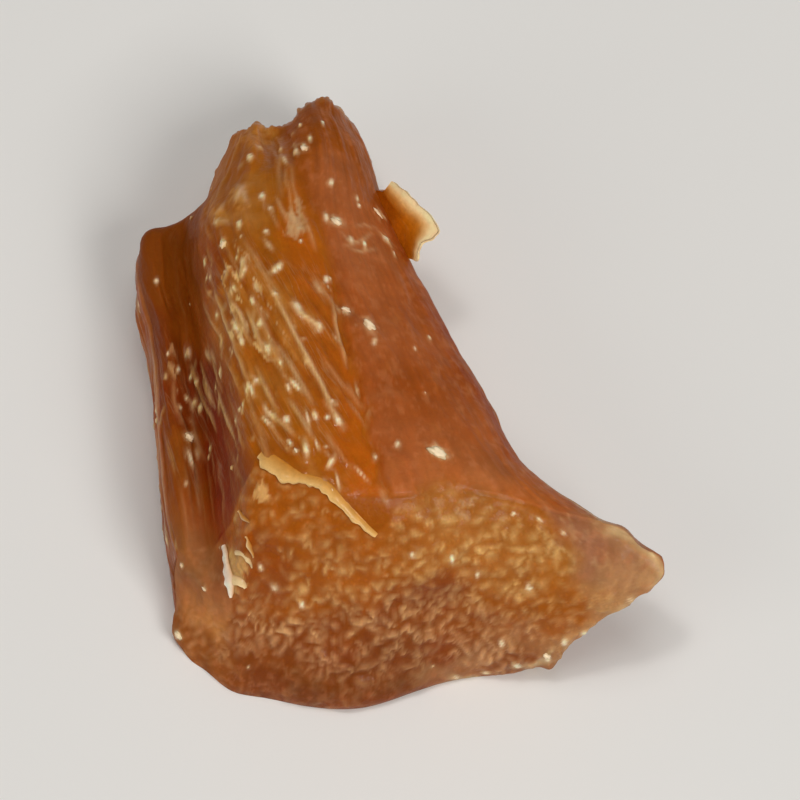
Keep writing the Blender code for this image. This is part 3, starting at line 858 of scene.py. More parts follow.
# place in the view, half length and half width in view units, turn in degrees from straight down
CRUMB_GLINTS = [
    (515, 425.8, 2.7, 1.5, 60), (492, 384, 2.1, 1.3, 30), (493.8, 389.5, 1.2, 0.8, 0),
    (484.4, 379.3, 1.3, 0.8, 60), (481.2, 349.3, 1.8, 1.1, 70), (477.8, 348.0, 1.1, 0.9, 0),
    (494.8, 346.2, 1.9, 0.9, 40), (497.8, 354.8, 1.5, 0.8, 40), (470.3, 324.3, 1.2, 0.9, 45),
    (466.2, 322.8, 1.2, 0.8, 30), (479.2, 336.4, 1.0, 0.8, 0), (452.3, 327.6, 0.9, 0.8, 0),
    (443.5, 356.6, 1.3, 1.1, 0), (439.8, 348.4, 1.0, 0.8, 0), (461.6, 365.4, 1.7, 0.7, -50),
    (450.7, 366.2, 2.0, 0.7, -25), (468.6, 378.0, 1.7, 0.9, 35), (475.5, 384.3, 1.5, 0.8, 40),
    (477.8, 369.0, 1.0, 0.8, 0), (448.2, 384.4, 1.9, 1.0, 25), (458.8, 391.8, 1.8, 0.9, 20),
    (460.5, 414.0, 1.6, 1.0, 60), (433.0, 395.2, 2.0, 0.9, 10), (432.5, 420.8, 1.5, 1.1, 60),
    (507.2, 391.7, 0.8, 0.6, 0), (494.2, 427.6, 0.9, 0.7, 0), (501.4, 423.4, 1.0, 0.8, 0),
    (471.6, 425.0, 1.5, 0.9, 10), (479.7, 429.0, 1.5, 0.7, -30), (481.9, 415.2, 1.6, 0.7, 40),
    (545.0, 470.5, 1.2, 0.8, 30), (551.0, 493.5, 1.2, 0.9, 20), (563.0, 485.5, 1.0, 0.8, 30),
    (578.0, 474.5, 1.0, 0.7, 40), (528.0, 466.0, 1.1, 0.7, 0), (536.0, 489.0, 1.0, 0.7, 20),
    (470.0, 476.0, 1.0, 0.7, 0), (456.5, 463.5, 1.2, 0.7, 30), (461.0, 470.5, 1.1, 0.8, 50),
    (429.0, 486.5, 1.3, 0.9, 40), (421.0, 369.0, 0.9, 0.7, 0), (433.0, 374.0, 1.0, 0.7, 10),
    (530.0, 405.0, 0.8, 0.6, 30), (519.5, 461.0, 1.1, 0.7, 10), (506.5, 459.5, 1.0, 0.7, 50),
    (512.0, 388.0, 0.7, 0.5, 20), (488.0, 341.5, 0.9, 0.6, 20), (458.0, 353.0, 1.0, 0.7, 70),
    (444.6, 366.0, 1.3, 0.6, -30), (447.6, 371.5, 1.2, 0.7, 20), (453.5, 376.0, 1.3, 0.6, 25),
    (450.0, 389.5, 1.2, 0.7, 15), (443.0, 378.5, 1.0, 0.7, 0), (456.5, 383.0, 1.0, 0.6, 30),
    (463.0, 396.5, 1.2, 0.5, 30), (465.5, 404.5, 1.3, 0.6, 30), (452.5, 404.0, 1.0, 0.6, 10),
    (471.5, 396.0, 1.1, 0.5, 30), (465.0, 415.2, 1.2, 0.7, 45), (474.5, 414.0, 1.1, 0.5, 35),
    (436.0, 408.0, 1.1, 0.6, 15), (442.0, 401.5, 1.2, 0.6, 20), (448.5, 421.0, 1.1, 0.6, 20),
    (428.5, 398.5, 1.0, 0.6, 0), (424.5, 401.0, 0.9, 0.6, 0), (431.5, 436.0, 0.8, 0.6, 0),
    (446.0, 331.5, 0.9, 0.7, 0), (456.5, 341.0, 1.0, 0.8, 40), (449.0, 350.5, 1.0, 0.7, 0),
    (486.0, 355.5, 1.0, 0.6, 60), (490.5, 357.0, 1.0, 0.6, 20), (500.5, 359.5, 0.9, 0.6, 30),
    (467.8, 325.6, 0.9, 0.7, 0), (472.4, 321.6, 0.8, 0.6, 0), (476.5, 316.0, 0.7, 0.5, 0),
    (548.0, 448.0, 0.9, 0.6, 40), (556.0, 452.5, 0.8, 0.5, 40), (539.5, 446.0, 0.7, 0.5, 0),
    (566.5, 484.0, 1.2, 0.8, 40), (556.5, 488.5, 1.1, 0.8, 20), (531.0, 499.0, 1.1, 0.5, 80),
    (521.0, 500.5, 1.0, 0.5, 80), (541.0, 496.5, 1.1, 0.6, 80), (585.0, 459.5, 1.0, 0.5, 50),
]
for x, y, half_length, half_width, turn in CRUMB_GLINTS:
    d = np.hypot(skin.across - x, skin.down - y)
    close = np.where((d < 6.0) & (skin.facing > 0.0))[0]
    if len(close) == 0:
        continue
    close = close[skin.near[close] > skin.near[close].max() - 1.2]
    c, s = math.cos(math.radians(turn)), math.sin(math.radians(turn))
    dx, dy = skin.across[close] - x, skin.down[close] - y
    r = np.hypot((dx * s + dy * c) / half_length, (dx * c - dy * s) / half_width) / 1.25
    crumb_glint[close] = np.maximum(crumb_glint[close], rng.uniform(0.7, 1.0) * np.exp(-(r * (1.0 + 0.5 * ruffle[close])) ** 2.6))
cluster = inside([(436, 364), (448, 358), (458, 366), (464, 384), (462, 404), (452, 404), (442, 388)], 5.0)
weight = (fibrous * (0.10 + 0.16 * heart + 0.85 * cluster * step(-0.1, 0.5, noise(flow * [0.8, 0.4, 0.8], 105)))
          + 0.30 * hollow * inside([(424, 388), (440, 386), (450, 424), (444, 436),
                                                               (428, 432)], 4.0))
weight = weight * on_top * (skin.facing > 0.2) + 0.10 * (left | right)
chosen = rng.choice(len(rest), 190, p=weight / weight.sum())
for k in chosen:  # and more of them between, in no set place
    half_length, half_width = 0.12 + 0.40 * rng.random() ** 1.6, 0.07 + 0.11 * rng.random() ** 1.5
    turn = math.radians(rng.uniform(-12.0, 20.0) if hollow[k] > 0.5 else rng.uniform(5.0, 48.0))
    run = np.array([math.sin(turn), -math.cos(turn) * SIN_E, -math.cos(turn) * COS_E])
    if left[k] or right[k]:
        run = np.array([0.0, -1.0, rng.uniform(-0.1, 0.1)])
    run = run - (run @ skin.normals[k]) * skin.normals[k]
    run /= np.linalg.norm(run)
    ids = np.array([f[1] for f in kd.find_range(skin.points[k], 1.5 * half_length)])
    off = skin.points[ids] - skin.points[k]
    lengthwise = off @ run
    sideways = np.linalg.norm(off - lengthwise[:, None] * run, axis=1)
    r = np.hypot(lengthwise / half_length, sideways / half_width)
    crumb_glint[ids] = np.maximum(crumb_glint[ids], rng.uniform(0.25, 1.0) * np.exp(-(r * (1.0 + 0.4 * ruffle[ids])) ** 2.4))
specks = []
for _ in range(70):  # and smaller ones scattered all round
    k = rng.integers(len(rest))
    size, strength = rng.uniform(0.07, 0.15), rng.uniform(0.3, 0.8)
    if skin.points[k, 2] < 0.8 or stipple[k] > 0.4 or (skin_zone[k] > 0.3 and rng.random() < 0.7):
        continue
    specks.append((k, size))
    found = kd.find_range(skin.points[k], 3.0 * size)
    ids = np.array([f[1] for f in found])
    d = np.array([f[2] for f in found]) / size
    crumb_glint[ids] = np.maximum(crumb_glint[ids], strength * np.exp(-(d * (1.0 + 0.5 * ruffle[ids])) ** 3.0))
skin.swell(0.075 * crumb_glint)

grain = layered(skin.points * 3.2, 83, 2)
skin.swell(grain * (0.012 + 0.014 * stipple + 0.006 * fibrous) * away_from_table(skin.points))

# ---- tone of each point -----------------------------------------------------------------------------
p = skin.points
tone = np.tile(AMBER, (len(p), 1))


def lay_on(colour, share):
    global tone
    tone = mix(tone, colour, np.clip(share, 0.0, 1.0))


# fibrous top: honey at the torn end and towards the skin, gold in the middle, pale where it is frayed
lay_on(GOLD, fibrous * (0.55 + 0.35 * soft_streaks + 0.2 * streaks))
lay_on(HONEY, fibrous * inside([(466, 350), (480, 366), (490, 410), (500, 444), (484, 448), (474, 412),
                                (466, 376)], 6.0) * 0.75)
lay_on(PALE_GOLD, fibrous * inside([(434, 368), (446, 362), (462, 368), (472, 392), (466, 412), (452, 408),
                                    (440, 390)], 6.0) * (0.12 + 0.5 * streaks))
lay_on(GOLD, inside([(438, 342), (444, 320), (462, 316), (463, 336), (456, 350)], 5.0) * on_top * 0.35)
lay_on(PALE_GOLD, inside([(440, 338), (450, 334), (458, 342), (456, 354), (444, 356), (437, 350)], 5.0) * on_top
       * (0.20 + 0.4 * patch))
lay_on(PALE_GOLD, fibrous * (0.32 * threads_wide + 0.20 * threads_thin) * busy)
lay_on(PALE_GOLD * 1.1, fibrous * busy * step(0.30, 0.85, layered(flow * [1.5, 0.45, 1.0], 103, 3, 0.6)) * 0.25)
lay_on(HONEY * 0.8, fibrous * (0.05 - 0.9 * streaks) * busy)
# the left-facing flank of the ridge darker: deeper flesh with painted shade
lay_on(HONEY * 0.72, fibrous * inside([(432, 360), (442, 358), (444, 368), (442, 378), (437, 384), (431, 374)], 4.0)
       * (0.62 - 0.5 * patch))
# lower on the flank, darker again as painted shade
lay_on(shade(124, 58, 18), fibrous * step(3.45, 2.8, u + 0.15 * wander) * step(384.0, 400.0, down) * 0.90)
frayed = fibrous * cluster * step(0.26, 0.60, layered(bent * [2.3, 0.80, 1.0], 107, 3, 0.6))
lay_on(CREAM * 1.05, 0.80 * frayed)
lay_on(PALE_GOLD, fibrous * step(0.35, 0.9, patch) * 0.35)
lay_on(ORANGE, fibrous * inside([(483, 392), (489, 398), (495, 422), (501, 438), (497, 448), (487, 436),
                                 (482, 414)], 9.0) * 0.62)
lay_on(ORANGE, fibrous * inside([(464, 326), (470, 340), (480, 366), (484, 376), (474, 372), (462, 352)], 5.0) * 0.45)
lay_on(GOLD, on_top * (1.0 - step(-0.2, 0.3, u - ridge_u)) * step(4.2, 5.0, v) * 0.85)
# skin
skin_soft = step(-0.40 - 0.6 * blur, 0.55 + 0.6 * blur, past_skin + 0.25 * noise(rest * [1.5, 0.5, 1.0], 101))
skin_soft *= on_top * (1.0 - cut)
lay_on(SKIN, skin_soft)
# lighter pink band on the left of the skin: pink flesh with a painted sheen
lay_on(SKIN_PINK, skin_soft * inside([(478, 350), (496, 352), (510, 378), (522, 402), (544, 434), (524, 442),
                                      (496, 438), (488, 400)], 7.0) * (0.48 + 0.35 * blotch))
# darker band along the right outline: painted shade where the skin turns away
lay_on(SKIN_DARK, skin_soft * inside([(506, 356), (522, 378), (548, 424), (562, 444), (538, 424), (514, 388)],
                                     5.0) * 0.62)
lay_on(SKIN_DARK, skin_soft * (-0.15 + 0.45 * soft_streaks))
near_cut = step(2.4, 0.2, -below_cut_line) * step(490.0, 504.0, across) * (1.0 - cut)
lay_on(SKIN_PALE, skin_soft * near_cut * (0.55 + 0.30 * patch))
lay_on(SKIN_PALE, skin_soft * step(0.25, 0.75, layered(rest * [1.1, 0.6, 1.0], 98, 3)) * 0.40)
lay_on(LOBE, lobe * 0.85)
lay_on(SKIN_PINK, skin_soft * inside([(474, 326), (484, 326), (492, 342), (500, 366), (484, 370), (476, 344)], 5.0) * 0.80)
# hollow and left flange
lay_on(FLANGE, hollow)
lay_on(FLANGE_TOP, hollow * step(402.0, 376.0, down + 6.0 * wander) * 0.85)
lay_on(shade(128, 78, 42), hollow * inside([(423, 400), (431, 398), (436, 420), (433, 438), (426, 436)], 4.0)
       * (0.26 + 0.5 * patch + 0.4 * soft_streaks))
low = step(436.0, 470.0, down + 6.0 * wander)
lay_on(FLANGE_LOW, (hollow + front_left) * low * (0.9 + 0.2 * blotch))
foot = step(446.0, 470.0, down + 6.0 * wander)
lay_on(SKIN_PINK, (hollow + front_left) * foot * (0.25 + 0.5 * patch))
lay_on(FLANGE, (hollow + front_left) * foot * step(0.15, 0.6, noise(flow * [1.6, 0.3, 0.6], 99)) * 0.25)
lay_on(shade(204, 140, 76), (hollow + front_left) * step(470.0, 488.0, down + 4.0 * wander) * (0.48 + 0.4 * patch + 0.3 * streaks)
       * (1.0 - 0.5 * rim))
# dark maroon flesh of the groove, deepened by painted shade in the recess
lay_on(GROOVE_SHADED, (hollow + front_left) * inside([(434, 394), (443, 397), (452, 420), (452, 446), (447, 464),
                                                    (446, 478), (443.5, 479), (442, 462), (438, 446),
                                                    (435, 420), (431, 404)], 6.5)
       * (0.98 + 0.30 * soft_streaks) * step(486.0, 450.0, down + 8.0 * wander) * (1.0 - 0.22 * step(436.0, 452.0, down)))
lay_on(GROOVE_SHADED, hollow * (1.0 - foot) * (1.0 - 0.75 * quiet) * (-0.1 + 0.5 * streaks))
# the cut across the fibres
gold_side = inside([(498, 440), (516, 434), (540, 438), (564, 452), (570, 470), (548, 474), (518, 466),
                    (500, 460)], 9.0)
cut_tone = mix(np.tile(CUT_AMBER, (len(p), 1)), CUT_GOLD, np.clip(gold_side * 0.9, 0, 1))
cut_tone = mix(cut_tone, CUT_PINK, lower_soft * 0.85)
cut_tone = mix(cut_tone, RING_BROWN, np.clip(0.10 - 0.25 * layered(rest * 0.7, 97, 2), 0.0, 0.35))
lay_on(cut_tone, cut)
lay_on(RING_BROWN * 0.9, 0.95 * ring + 0.6 * outer_ring)
lay_on(RING_BROWN, inside([(470, 487), (498, 486), (520, 489), (518, 499), (500, 506), (474, 504)], 5.0) * cut * 0.80)
# reddish rim along the lower edge, darkened by painted shade where it turns under
lay_on(LIP_RED_SHADED * 0.9, rim * 0.92)
lay_on(shade(164, 102, 54), rim * step(456.0, 440.0, across) * 0.55)
dotted = np.clip(stipple + 0.35 * rim + 0.30 * front_left * low, 0.0, 1.0)
stroke_tone = mix(np.tile(STROKE_GOLD, (len(p), 1)), STROKE_PINK, np.clip(lower_soft + rim + front_left, 0, 1))
gap_tone = mix(np.tile(GAP_GOLD, (len(p), 1)), GAP_PINK, np.clip(lower_soft + front_left, 0, 1))
lay_on(gap_tone, dotted * (1.0 - light) ** 2 * (0.50 + 0.15 * along_ring))
lay_on(RING_BROWN, stipple * inside([(504, 467), (520, 467), (523, 478), (505, 479)], 4.0) * (1.0 - light) * 0.55)
lay_on(CUT_AMBER, stipple * inside([(497, 448), (511, 447), (512, 461), (498, 462)], 5.0) * (1.0 - light) * 0.45)
brighter = inside([(526, 488), (536, 480), (556, 482), (550, 491), (540, 494), (528, 496)], 5.0)
lay_on(stroke_tone, dotted * light * (0.84 + 0.10 * mealy + 0.14 * gold_side) * (1.0 - 0.35 * rim)
       * (1.0 - 0.25 * inside([(480, 488), (500, 486), (518, 489), (514, 499), (484, 499)], 5.0)))
lay_on(GAP_PINK, dotted * inside([(452, 490), (470, 490), (492, 494), (500, 504), (470, 508), (446, 504)], 6.0) * 0.35)
lay_on(STROKE_PINK, skin.on_cut * brighter * (0.14 + 0.30 * light))
lay_on(STROKE_PINK * 0.85, skin.on_cut * inside([(508, 496), (520, 495), (530, 494), (530, 500), (509, 503)], 2.5) * 0.38)
lay_on(RING_BROWN, stipple * inside([(447, 452), (458, 448), (468, 462), (464, 476), (448, 474)], 4.0) * 0.50)
lay_on(CUT_AMBER, stipple * inside([(542, 464), (556, 462), (560, 474), (552, 484), (542, 478)], 5.0) * 0.28)
lay_on(TIP_PINK * 0.84, tip * 0.85)
lay_on(mix(TIP_PALE, TIP_PINK, 0.35) * 0.72, tip * inside([(570, 446), (592, 450), (600, 470), (582, 474), (572, 464)], 5.0) * 0.65)
# pale rim along the tip's upper edge
lay_on(TIP_PALE, tip * band([(568, 448), (577, 453), (584, 458.5), (589, 466)], 3.0) * (0.80 + 0.4 * ruffle))
lay_on(TIP_PALE * 0.84, inside([(560, 470), (572, 464), (590, 466), (582, 476), (566, 484)], 4.0) * skin.on_cut * 0.55)
lay_on(TIP_PALE, inside([(545, 490), (560, 484), (590, 462), (600, 474), (556, 498)], 2.0) * skin.on_cut * 0.35)
lay_on(GAP_PINK, inside([(496, 500), (520, 498), (548, 491), (556, 496), (540, 506), (496, 510)], 2.5) * skin.on_cut * 0.22)
edge_line = band([(516, 502), (529, 500.5), (540, 497.5), (550, 494.5), (556, 489), (563, 486), (570, 480.5),
                  (578, 476), (587, 469)], 1.5) * skin.on_cut
lay_on(CREAM * 0.85, edge_line * step(-0.35, 0.45, noise(face * [1.3, 1.3, 0.8], 109)) * 0.66)
lay_on(TIP_PALE * 1.05, tip * step(0.05, 0.60, layered(rest * [2.4, 1.3, 1.6], 110, 3, 0.6)) * 0.42)
lay_on(TIP_PINK * 0.72, tip * step(0.10, 0.65, layered(rest * [1.8, 1.1, 1.4], 111, 3, 0.6)) * 0.38)
# cream line on the tip's upper edge: painted highlight
lay_on(CREAM * 0.9, tip * band([(573, 451.5), (580, 455), (586, 460.5), (589, 466.5)], 1.7) * 0.50)
# sides and end that the view doesn't show
lay_on(mix(np.tile(FLANGE, (len(p), 1)), SKIN, np.clip(0.5 + 0.6 * blotch, 0, 1)), left)
lay_on(mix(np.tile(SKIN, (len(p), 1)), AMBER, np.clip(0.35 + 0.6 * blotch, 0, 1)), right)
lay_on(GOLD, (left | right) * (0.4 * streaks))
lay_on(SKIN_DARK, (left | right) * (0.35 * soft_streaks))
lay_on(TIP_PALE * 0.90, right * step(1.35, 0.55, v + 0.3 * patch) * step(0.55, 0.12, w) * 0.85)
lay_on(TIP_PINK * 0.85, right * step(1.1, 0.3, v + 0.3 * patch) * step(1.5, 0.5, w) * 0.45)
lay_on(mix(np.tile(AMBER, (len(p), 1)), GOLD, np.clip(0.5 + 0.7 * blotch, 0, 1)), back)
lay_on(PALE_GOLD, torn * (0.15 + 0.4 * layered(rest * [1.5, 0.5, 0.8], 71, 3, 0.6)))
# pale frayed patches
lay_on(CREAM * 0.85, in_outline(across + 3.0 * ruffle, down + 3.0 * ruffle, [(468.3, 341), (470.5, 347), (471.8, 352.6),
                                                                (464.6, 354.2), (466.4, 347)], 1.1) * 0.55)
lay_on(STROKE_GOLD * 1.1, in_outline(across + 2.0 * ruffle, down + 2.0 * ruffle, [(457, 434), (459.8, 441), (454.6, 441.8)],
                               0.7) * 0.75)
lay_on(STROKE_GOLD, in_outline(across + 2.0 * ruffle, down + 2.0 * ruffle, [(445.5, 457), (449, 458.5), (453, 461),
                                                                (450.5, 468), (447, 472)], 1.2) * 0.60)
lay_on(PALE_GOLD, in_outline(across + 4.0 * ruffle, down + 4.0 * ruffle, [(447, 338), (451, 339), (450, 345),
                                                                (446, 344)], 1.5) * 0.8)
lay_on(PALE_GOLD, in_outline(across + 4.0 * ruffle, down + 4.0 * ruffle, [(438, 346), (443, 345), (447, 349),
                                                                (441, 351)], 1.5) * 0.7)
lay_on(PALE_GOLD, in_outline(across + 4.0 * ruffle, down + 4.0 * ruffle, [(453, 317), (461, 317), (458, 323),
                                                                (449, 324)], 2.5) * 0.5)
# strands and crumbs: pale, and whitest at their tops as painted glints
lay_on(CREAM, strand_shine * 0.80)
lay_on(CREAM, 0.92 * crumb_glint**1.15)
lay_on(GLINT_WHITE, 0.88 * step(0.45, 0.90, crumb_glint))
skin_share = np.clip(skin_zone + 0.8 * rim + 0.8 * front_left + 0.7 * (left | right) + 0.8 * tip, 0, 1)
scurf = step(0.12, 0.65, layered(rest * 1.7, 93, 4, 0.7))
lay_on(SCURF, skin_share * scurf * 0.32)
tone = tone * (1.0 + 0.08 * blotch + 0.04 * fine_streaks + 0.10 * layered(rest * 0.95, 94, 4, 0.6)
               + 0.14 * skin_share * layered(flow * [2.6, 0.16, 1.0], 96, 3, 0.55))[:, None]
# calm top of the flange; the flank beside it and the head of the groove darker, deeper flesh with painted shade
tone = mix(tone, FLANGE_TOP * (1.0 + 0.10 * blotch)[:, None],
           0.62 * hollow * step(400.0, 386.0, down + 4.0 * wander) * (1.0 - crumb_glint))
deep_shade = fibrous * inside([(430, 350), (441, 348), (446, 366), (444, 380), (437, 388), (430, 376)], 4.0) * (1.0 - crumb_glint)
tone *= 1.0 - 0.8 * deep_shade[:, None] * [0.10, 0.28, 0.50]
deep_shade = (hollow + fibrous) * inside([(426, 400), (438, 398), (446, 402), (444, 414), (434, 418), (426, 416)], 4.0) * (1.0 - crumb_glint)
tone *= 1.0 - 0.7 * deep_shade[:, None] * [0.14, 0.26, 0.36]
for outline, soft, factors in (
    ([(418, 378), (427, 380), (431, 398), (432, 416), (424, 416), (419, 396)], 4.0, [0.86, 0.72, 0.60]),
    ([(430, 452), (438, 452), (440, 468), (430, 468)], 4.0, [0.80, 0.86, 0.92]),
    ([(444, 338), (456, 336), (458, 350), (446, 352)], 5.0, [0.95, 1.03, 1.45]),
    ([(522, 424), (534, 424), (540, 438), (526, 440)], 5.0, [1.0, 1.10, 1.35]),
    ([(556, 452), (568, 452), (568, 464), (556, 464)], 4.0, [1.02, 1.14, 1.30]),
    ([(490, 498), (509, 498), (509, 506), (490, 507)], 3.0, [0.84, 0.94, 0.92]),
    ([(464, 499), (488, 500), (488, 507), (464, 507)], 3.0, [0.88, 0.96, 0.95]),
    ([(490, 486), (512, 486), (512, 498), (490, 498)], 4.0, [0.90, 0.96, 0.92]),
    ([(431, 372), (438, 374), (440, 392), (433, 396)], 4.0, [1.28, 1.30, 1.70]),
    ([(438, 442), (449, 442), (449, 460), (440, 460)], 4.0, [1.16, 1.16, 1.0]),
):
    here = inside(outline, soft) * (on_top | skin.on_cut) * (1.0 - crumb_glint)
    tone *= 1.0 + here[:, None] * (np.array(factors) - 1.0)
tone = np.clip(tone, 0.003, 0.95)

zones = np.stack([dotted, np.clip(fibrous * busy + 0.8 * hollow * (1.0 - foot) * (1.0 - 0.7 * quiet) + 0.6 * (left | right) + 0.6 * torn, 0, 1),
                  np.clip(skin_share + 0.8 * hollow * foot, 0, 1)], axis=1)
# left-facing top and the left wall darker in green and blue: painted shade on the sides turned from the light
turned = step(0.20, 0.62, -skin.normals[:, 0]) * on_top * (1.0 - cut)
tone[:, 1:] *= 1.0 - (turned + 0.6 * left)[:, None] * [0.07, 0.34]
flank = hollow + fibrous * step(3.6, 2.9, u + 0.2 * wander) + turned
flank = flank + fibrous * inside([(430, 350), (443, 346), (448, 362), (447, 380), (440, 392), (430, 380)], 4.0)
gloss = np.clip(strand_shine + crumb_glint, 0.0, 1.0)
gloss = gloss - 0.90 * np.clip(flank + front_left, 0.0, 1.0) * (1.0 - gloss)


# ---- material -------------------------------------------------------------------------------------
def flesh_material(name, depth_share):
    mat = bpy.data.materials.new(name)
    mat.use_nodes = True
    tree = mat.node_tree
    nodes, links = tree.nodes, tree.links
    nodes.clear()

    def node(kind, **values):
        n = nodes.new(kind)
        for key, value in values.items():
            setattr(n, key, value)
        return n

    def feed(n, values):
        for socket, value in zip(n.inputs, values):
            if isinstance(value, (int, float, tuple)):
                socket.default_value = value
            else:
                links.new(value, socket)
        return n.outputs[0]

    def math_node(operation, *values, clamp=False):
        return feed(node("ShaderNodeMath", operation=operation, use_clamp=clamp), values)

    def attribute(name, output):
        return node("ShaderNodeAttribute", attribute_name=name).outputs[output]

    def ramp(value, low, high, start=0.0, end=1.0):
        """A soft change from start to end while the value goes from low to high."""
        n = node("ShaderNodeMapRange", interpolation_type="SMOOTHSTEP")
        return feed(n, (value, low, high, start, end))

    def scaled(vector, factors, turn=(0.0, 0.0, 0.0)):
        n = node("ShaderNodeMapping")
        n.inputs["Scale"].default_value = factors
        n.inputs["Rotation"].default_value = turn
        links.new(vector, n.inputs["Vector"])
        return n.outputs[0]

    def cloud(vector, factors, detail, roughness=0.5, output=0):
        n = node("ShaderNodeTexNoise")
        n.inputs["Scale"].default_value = 1.0
        n.inputs["Detail"].default_value = detail
        n.inputs["Roughness"].default_value = roughness
        links.new(scaled(vector, factors), n.inputs["Vector"])
        return n.outputs[output]

    def blend(colour, other, share):
        n = node("ShaderNodeMix", data_type="RGBA")
        links.new(colour, n.inputs[6])
        if isinstance(other, tuple):
            n.inputs[7].default_value = other
        else:
            links.new(other, n.inputs[7])
        links.new(share, n.inputs[0])
        return n.outputs[2]

    def times(colour, factor):
        n = node("ShaderNodeMix", data_type="RGBA", blend_type="MULTIPLY")
        n.inputs[0].default_value = 1.0
        links.new(colour, n.inputs[6])
        links.new(factor, n.inputs[7])
        return n.outputs[2]

    out = node("ShaderNodeOutputMaterial")
    surface = node("ShaderNodeBsdfPrincipled")
    links.new(surface.outputs[0], out.inputs[0])
    parts = node("ShaderNodeSeparateColor")
    links.new(attribute("zones", "Color"), parts.inputs[0])
    is_cut, is_fibre, is_skin = parts.outputs[0], parts.outputs[1], parts.outputs[2]
    shine = attribute("gloss", "Fac")
    flow_in = attribute("flow", "Vector")
    place = node("ShaderNodeTexCoord").outputs["Object"]

    strands = cloud(flow_in, (5.0, 0.7, 1.0), 2.0, 0.6)
    grit = cloud(place, (4300.0, 4300.0, 4300.0), 2.0, 0.6)

    # the cut: small pale grains among the strokes
    beads = node("ShaderNodeTexVoronoi", feature="F1")
    beads.inputs["Scale"].default_value = 1.0
    links.new(scaled(scaled(place, (1000.0, 1000.0, 1000.0), (math.radians(-30.0), 0.0, 0.0)), (4.4, 3.6, 2.0)),
              beads.inputs["Vector"])
    bead = math_node("MULTIPLY", ramp(beads.outputs["Distance"], 0.10, 0.46, 1.0, 0.0), is_cut)

    # fibrous parts: thin pale lines along the fibres, in patches
    line = math_node("ABSOLUTE", math_node("SUBTRACT", cloud(flow_in, (3.4, 0.30, 1.0), 2.0), 0.5))
    line = ramp(line, 0.004, 0.034, 1.0, 0.0)
    line = math_node("MULTIPLY", line, ramp(cloud(flow_in, (1.1, 0.35, 1.0), 0.0), 0.46, 0.62))
    line = math_node("MULTIPLY", line, is_fibre)

    value = math_node("MULTIPLY_ADD", math_node("SUBTRACT", grit, 0.5), 0.26, 1.0)
    value = math_node("MULTIPLY_ADD", math_node("SUBTRACT", strands, 0.5), math_node("MULTIPLY", is_fibre, 0.38), value)
    value = math_node("MULTIPLY_ADD", math_node("SUBTRACT", bead, math_node("MULTIPLY", is_cut, 0.35)), 0.11, value)
    colour = times(attribute("tone", "Color"), value)
    colour = blend(colour, (*(CREAM * 0.75), 1.0), math_node("MULTIPLY", line, 0.14))
    links.new(colour, surface.inputs["Base Color"])

    rough = math_node("MULTIPLY_ADD", grit, 0.26, 0.24)
    rough = math_node("MULTIPLY_ADD", is_cut, 0.05, rough)
    rough = math_node("MULTIPLY_ADD", is_skin, 0.12, rough)
    rough = math_node("MULTIPLY_ADD", shine, -0.15, rough, clamp=True)
    links.new(rough, surface.inputs["Roughness"])
    coat = math_node("MULTIPLY_ADD", is_fibre, 0.24, 0.09)
    coat = math_node("MULTIPLY_ADD", shine, 0.35, coat)
    coat = math_node("MULTIPLY_ADD", line, 0.30, coat, clamp=True)
    links.new(coat, surface.inputs["Coat Weight"])

    relief = math_node("MULTIPLY", strands, is_fibre)
    relief = math_node("MULTIPLY_ADD", bead, 0.30, relief)
    relief = math_node("MULTIPLY_ADD", grit, 0.70, relief)
    bump = node("ShaderNodeBump")
    bump.inputs["Strength"].default_value = 0.75
    bump.inputs["Distance"].default_value = 0.00006
    links.new(relief, bump.inputs["Height"])
    links.new(bump.outputs[0], surface.inputs["Normal"])

    surface.inputs["IOR"].default_value = 1.46
    surface.inputs["Specular IOR Level"].default_value = 0.12
    surface.inputs["Subsurface Weight"].default_value = depth_share
    surface.inputs["Subsurface Radius"].default_value = (0.8, 0.40, 0.20)
    surface.inputs["Subsurface Scale"].default_value = 0.0007
    surface.inputs["Coat Roughness"].default_value = 0.11
    surface.inputs["Coat IOR"].default_value = 1.45
    return mat


flesh = flesh_material("dried_flesh", 0.50)
thin_flesh = flesh_material("dried_flake", 0.0)


def write_mesh(name, points, faces, tone, zones, gloss, flow, material):
    """A mesh in the row's frame, with the tone, zones, gloss and flow of each point."""
    mesh = bpy.data.meshes.new(name)
    mesh.from_pydata([tuple(q) for q in to_row(points)], [], [tuple(int(k) for k in f) for f in faces])
    for key, values in (("tone", tone), ("zones", zones)):
        data = np.ones((len(points), 4), np.float32)
        data[:, :3] = values
        mesh.color_attributes.new(key, "FLOAT_COLOR", "POINT").data.foreach_set("color", data.ravel())
    mesh.attributes.new("gloss", "FLOAT", "POINT").data.foreach_set("value", np.asarray(gloss, np.float32))
    mesh.attributes.new("flow", "FLOAT_VECTOR", "POINT").data.foreach_set(
        "vector", np.asarray(flow, np.float32).ravel()
    )
    mesh.materials.append(material)
    mesh.shade_smooth()
    obj = bpy.data.objects.new(name, mesh)
    bpy.context.scene.collection.objects.link(obj)
    return obj


def flat_underside(obj):
    """Trim the mesh at the table and close it with a flat face."""
    bm = bmesh.new()
    bm.from_mesh(obj.data)
    bmesh.ops.bisect_plane(
        bm, geom=bm.verts[:] + bm.edges[:] + bm.faces[:], dist=1e-7,
        plane_co=(0.0, 0.0, 0.0), plane_no=(0.0, 0.0, 1.0), clear_inner=True,
    )
    filled = bmesh.ops.holes_fill(bm, edges=[e for e in bm.edges if e.is_boundary], sides=0)["faces"]
    for f in filled:
        f.normal_update()
        if f.normal.z > 0.0:
            f.normal_flip()
        f.smooth = False
        for e in f.edges:
            e.smooth = False
    bmesh.ops.triangulate(bm, faces=filled, quad_method="BEAUTY", ngon_method="BEAUTY")
    bm.to_mesh(obj.data)
    bm.free()
    obj.data.update()


body = write_mesh("ginger_body", p, skin.faces, tone, zones, gloss, flow, flesh)
flat_underside(body)
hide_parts("ginger_piece")
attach(body, "root")


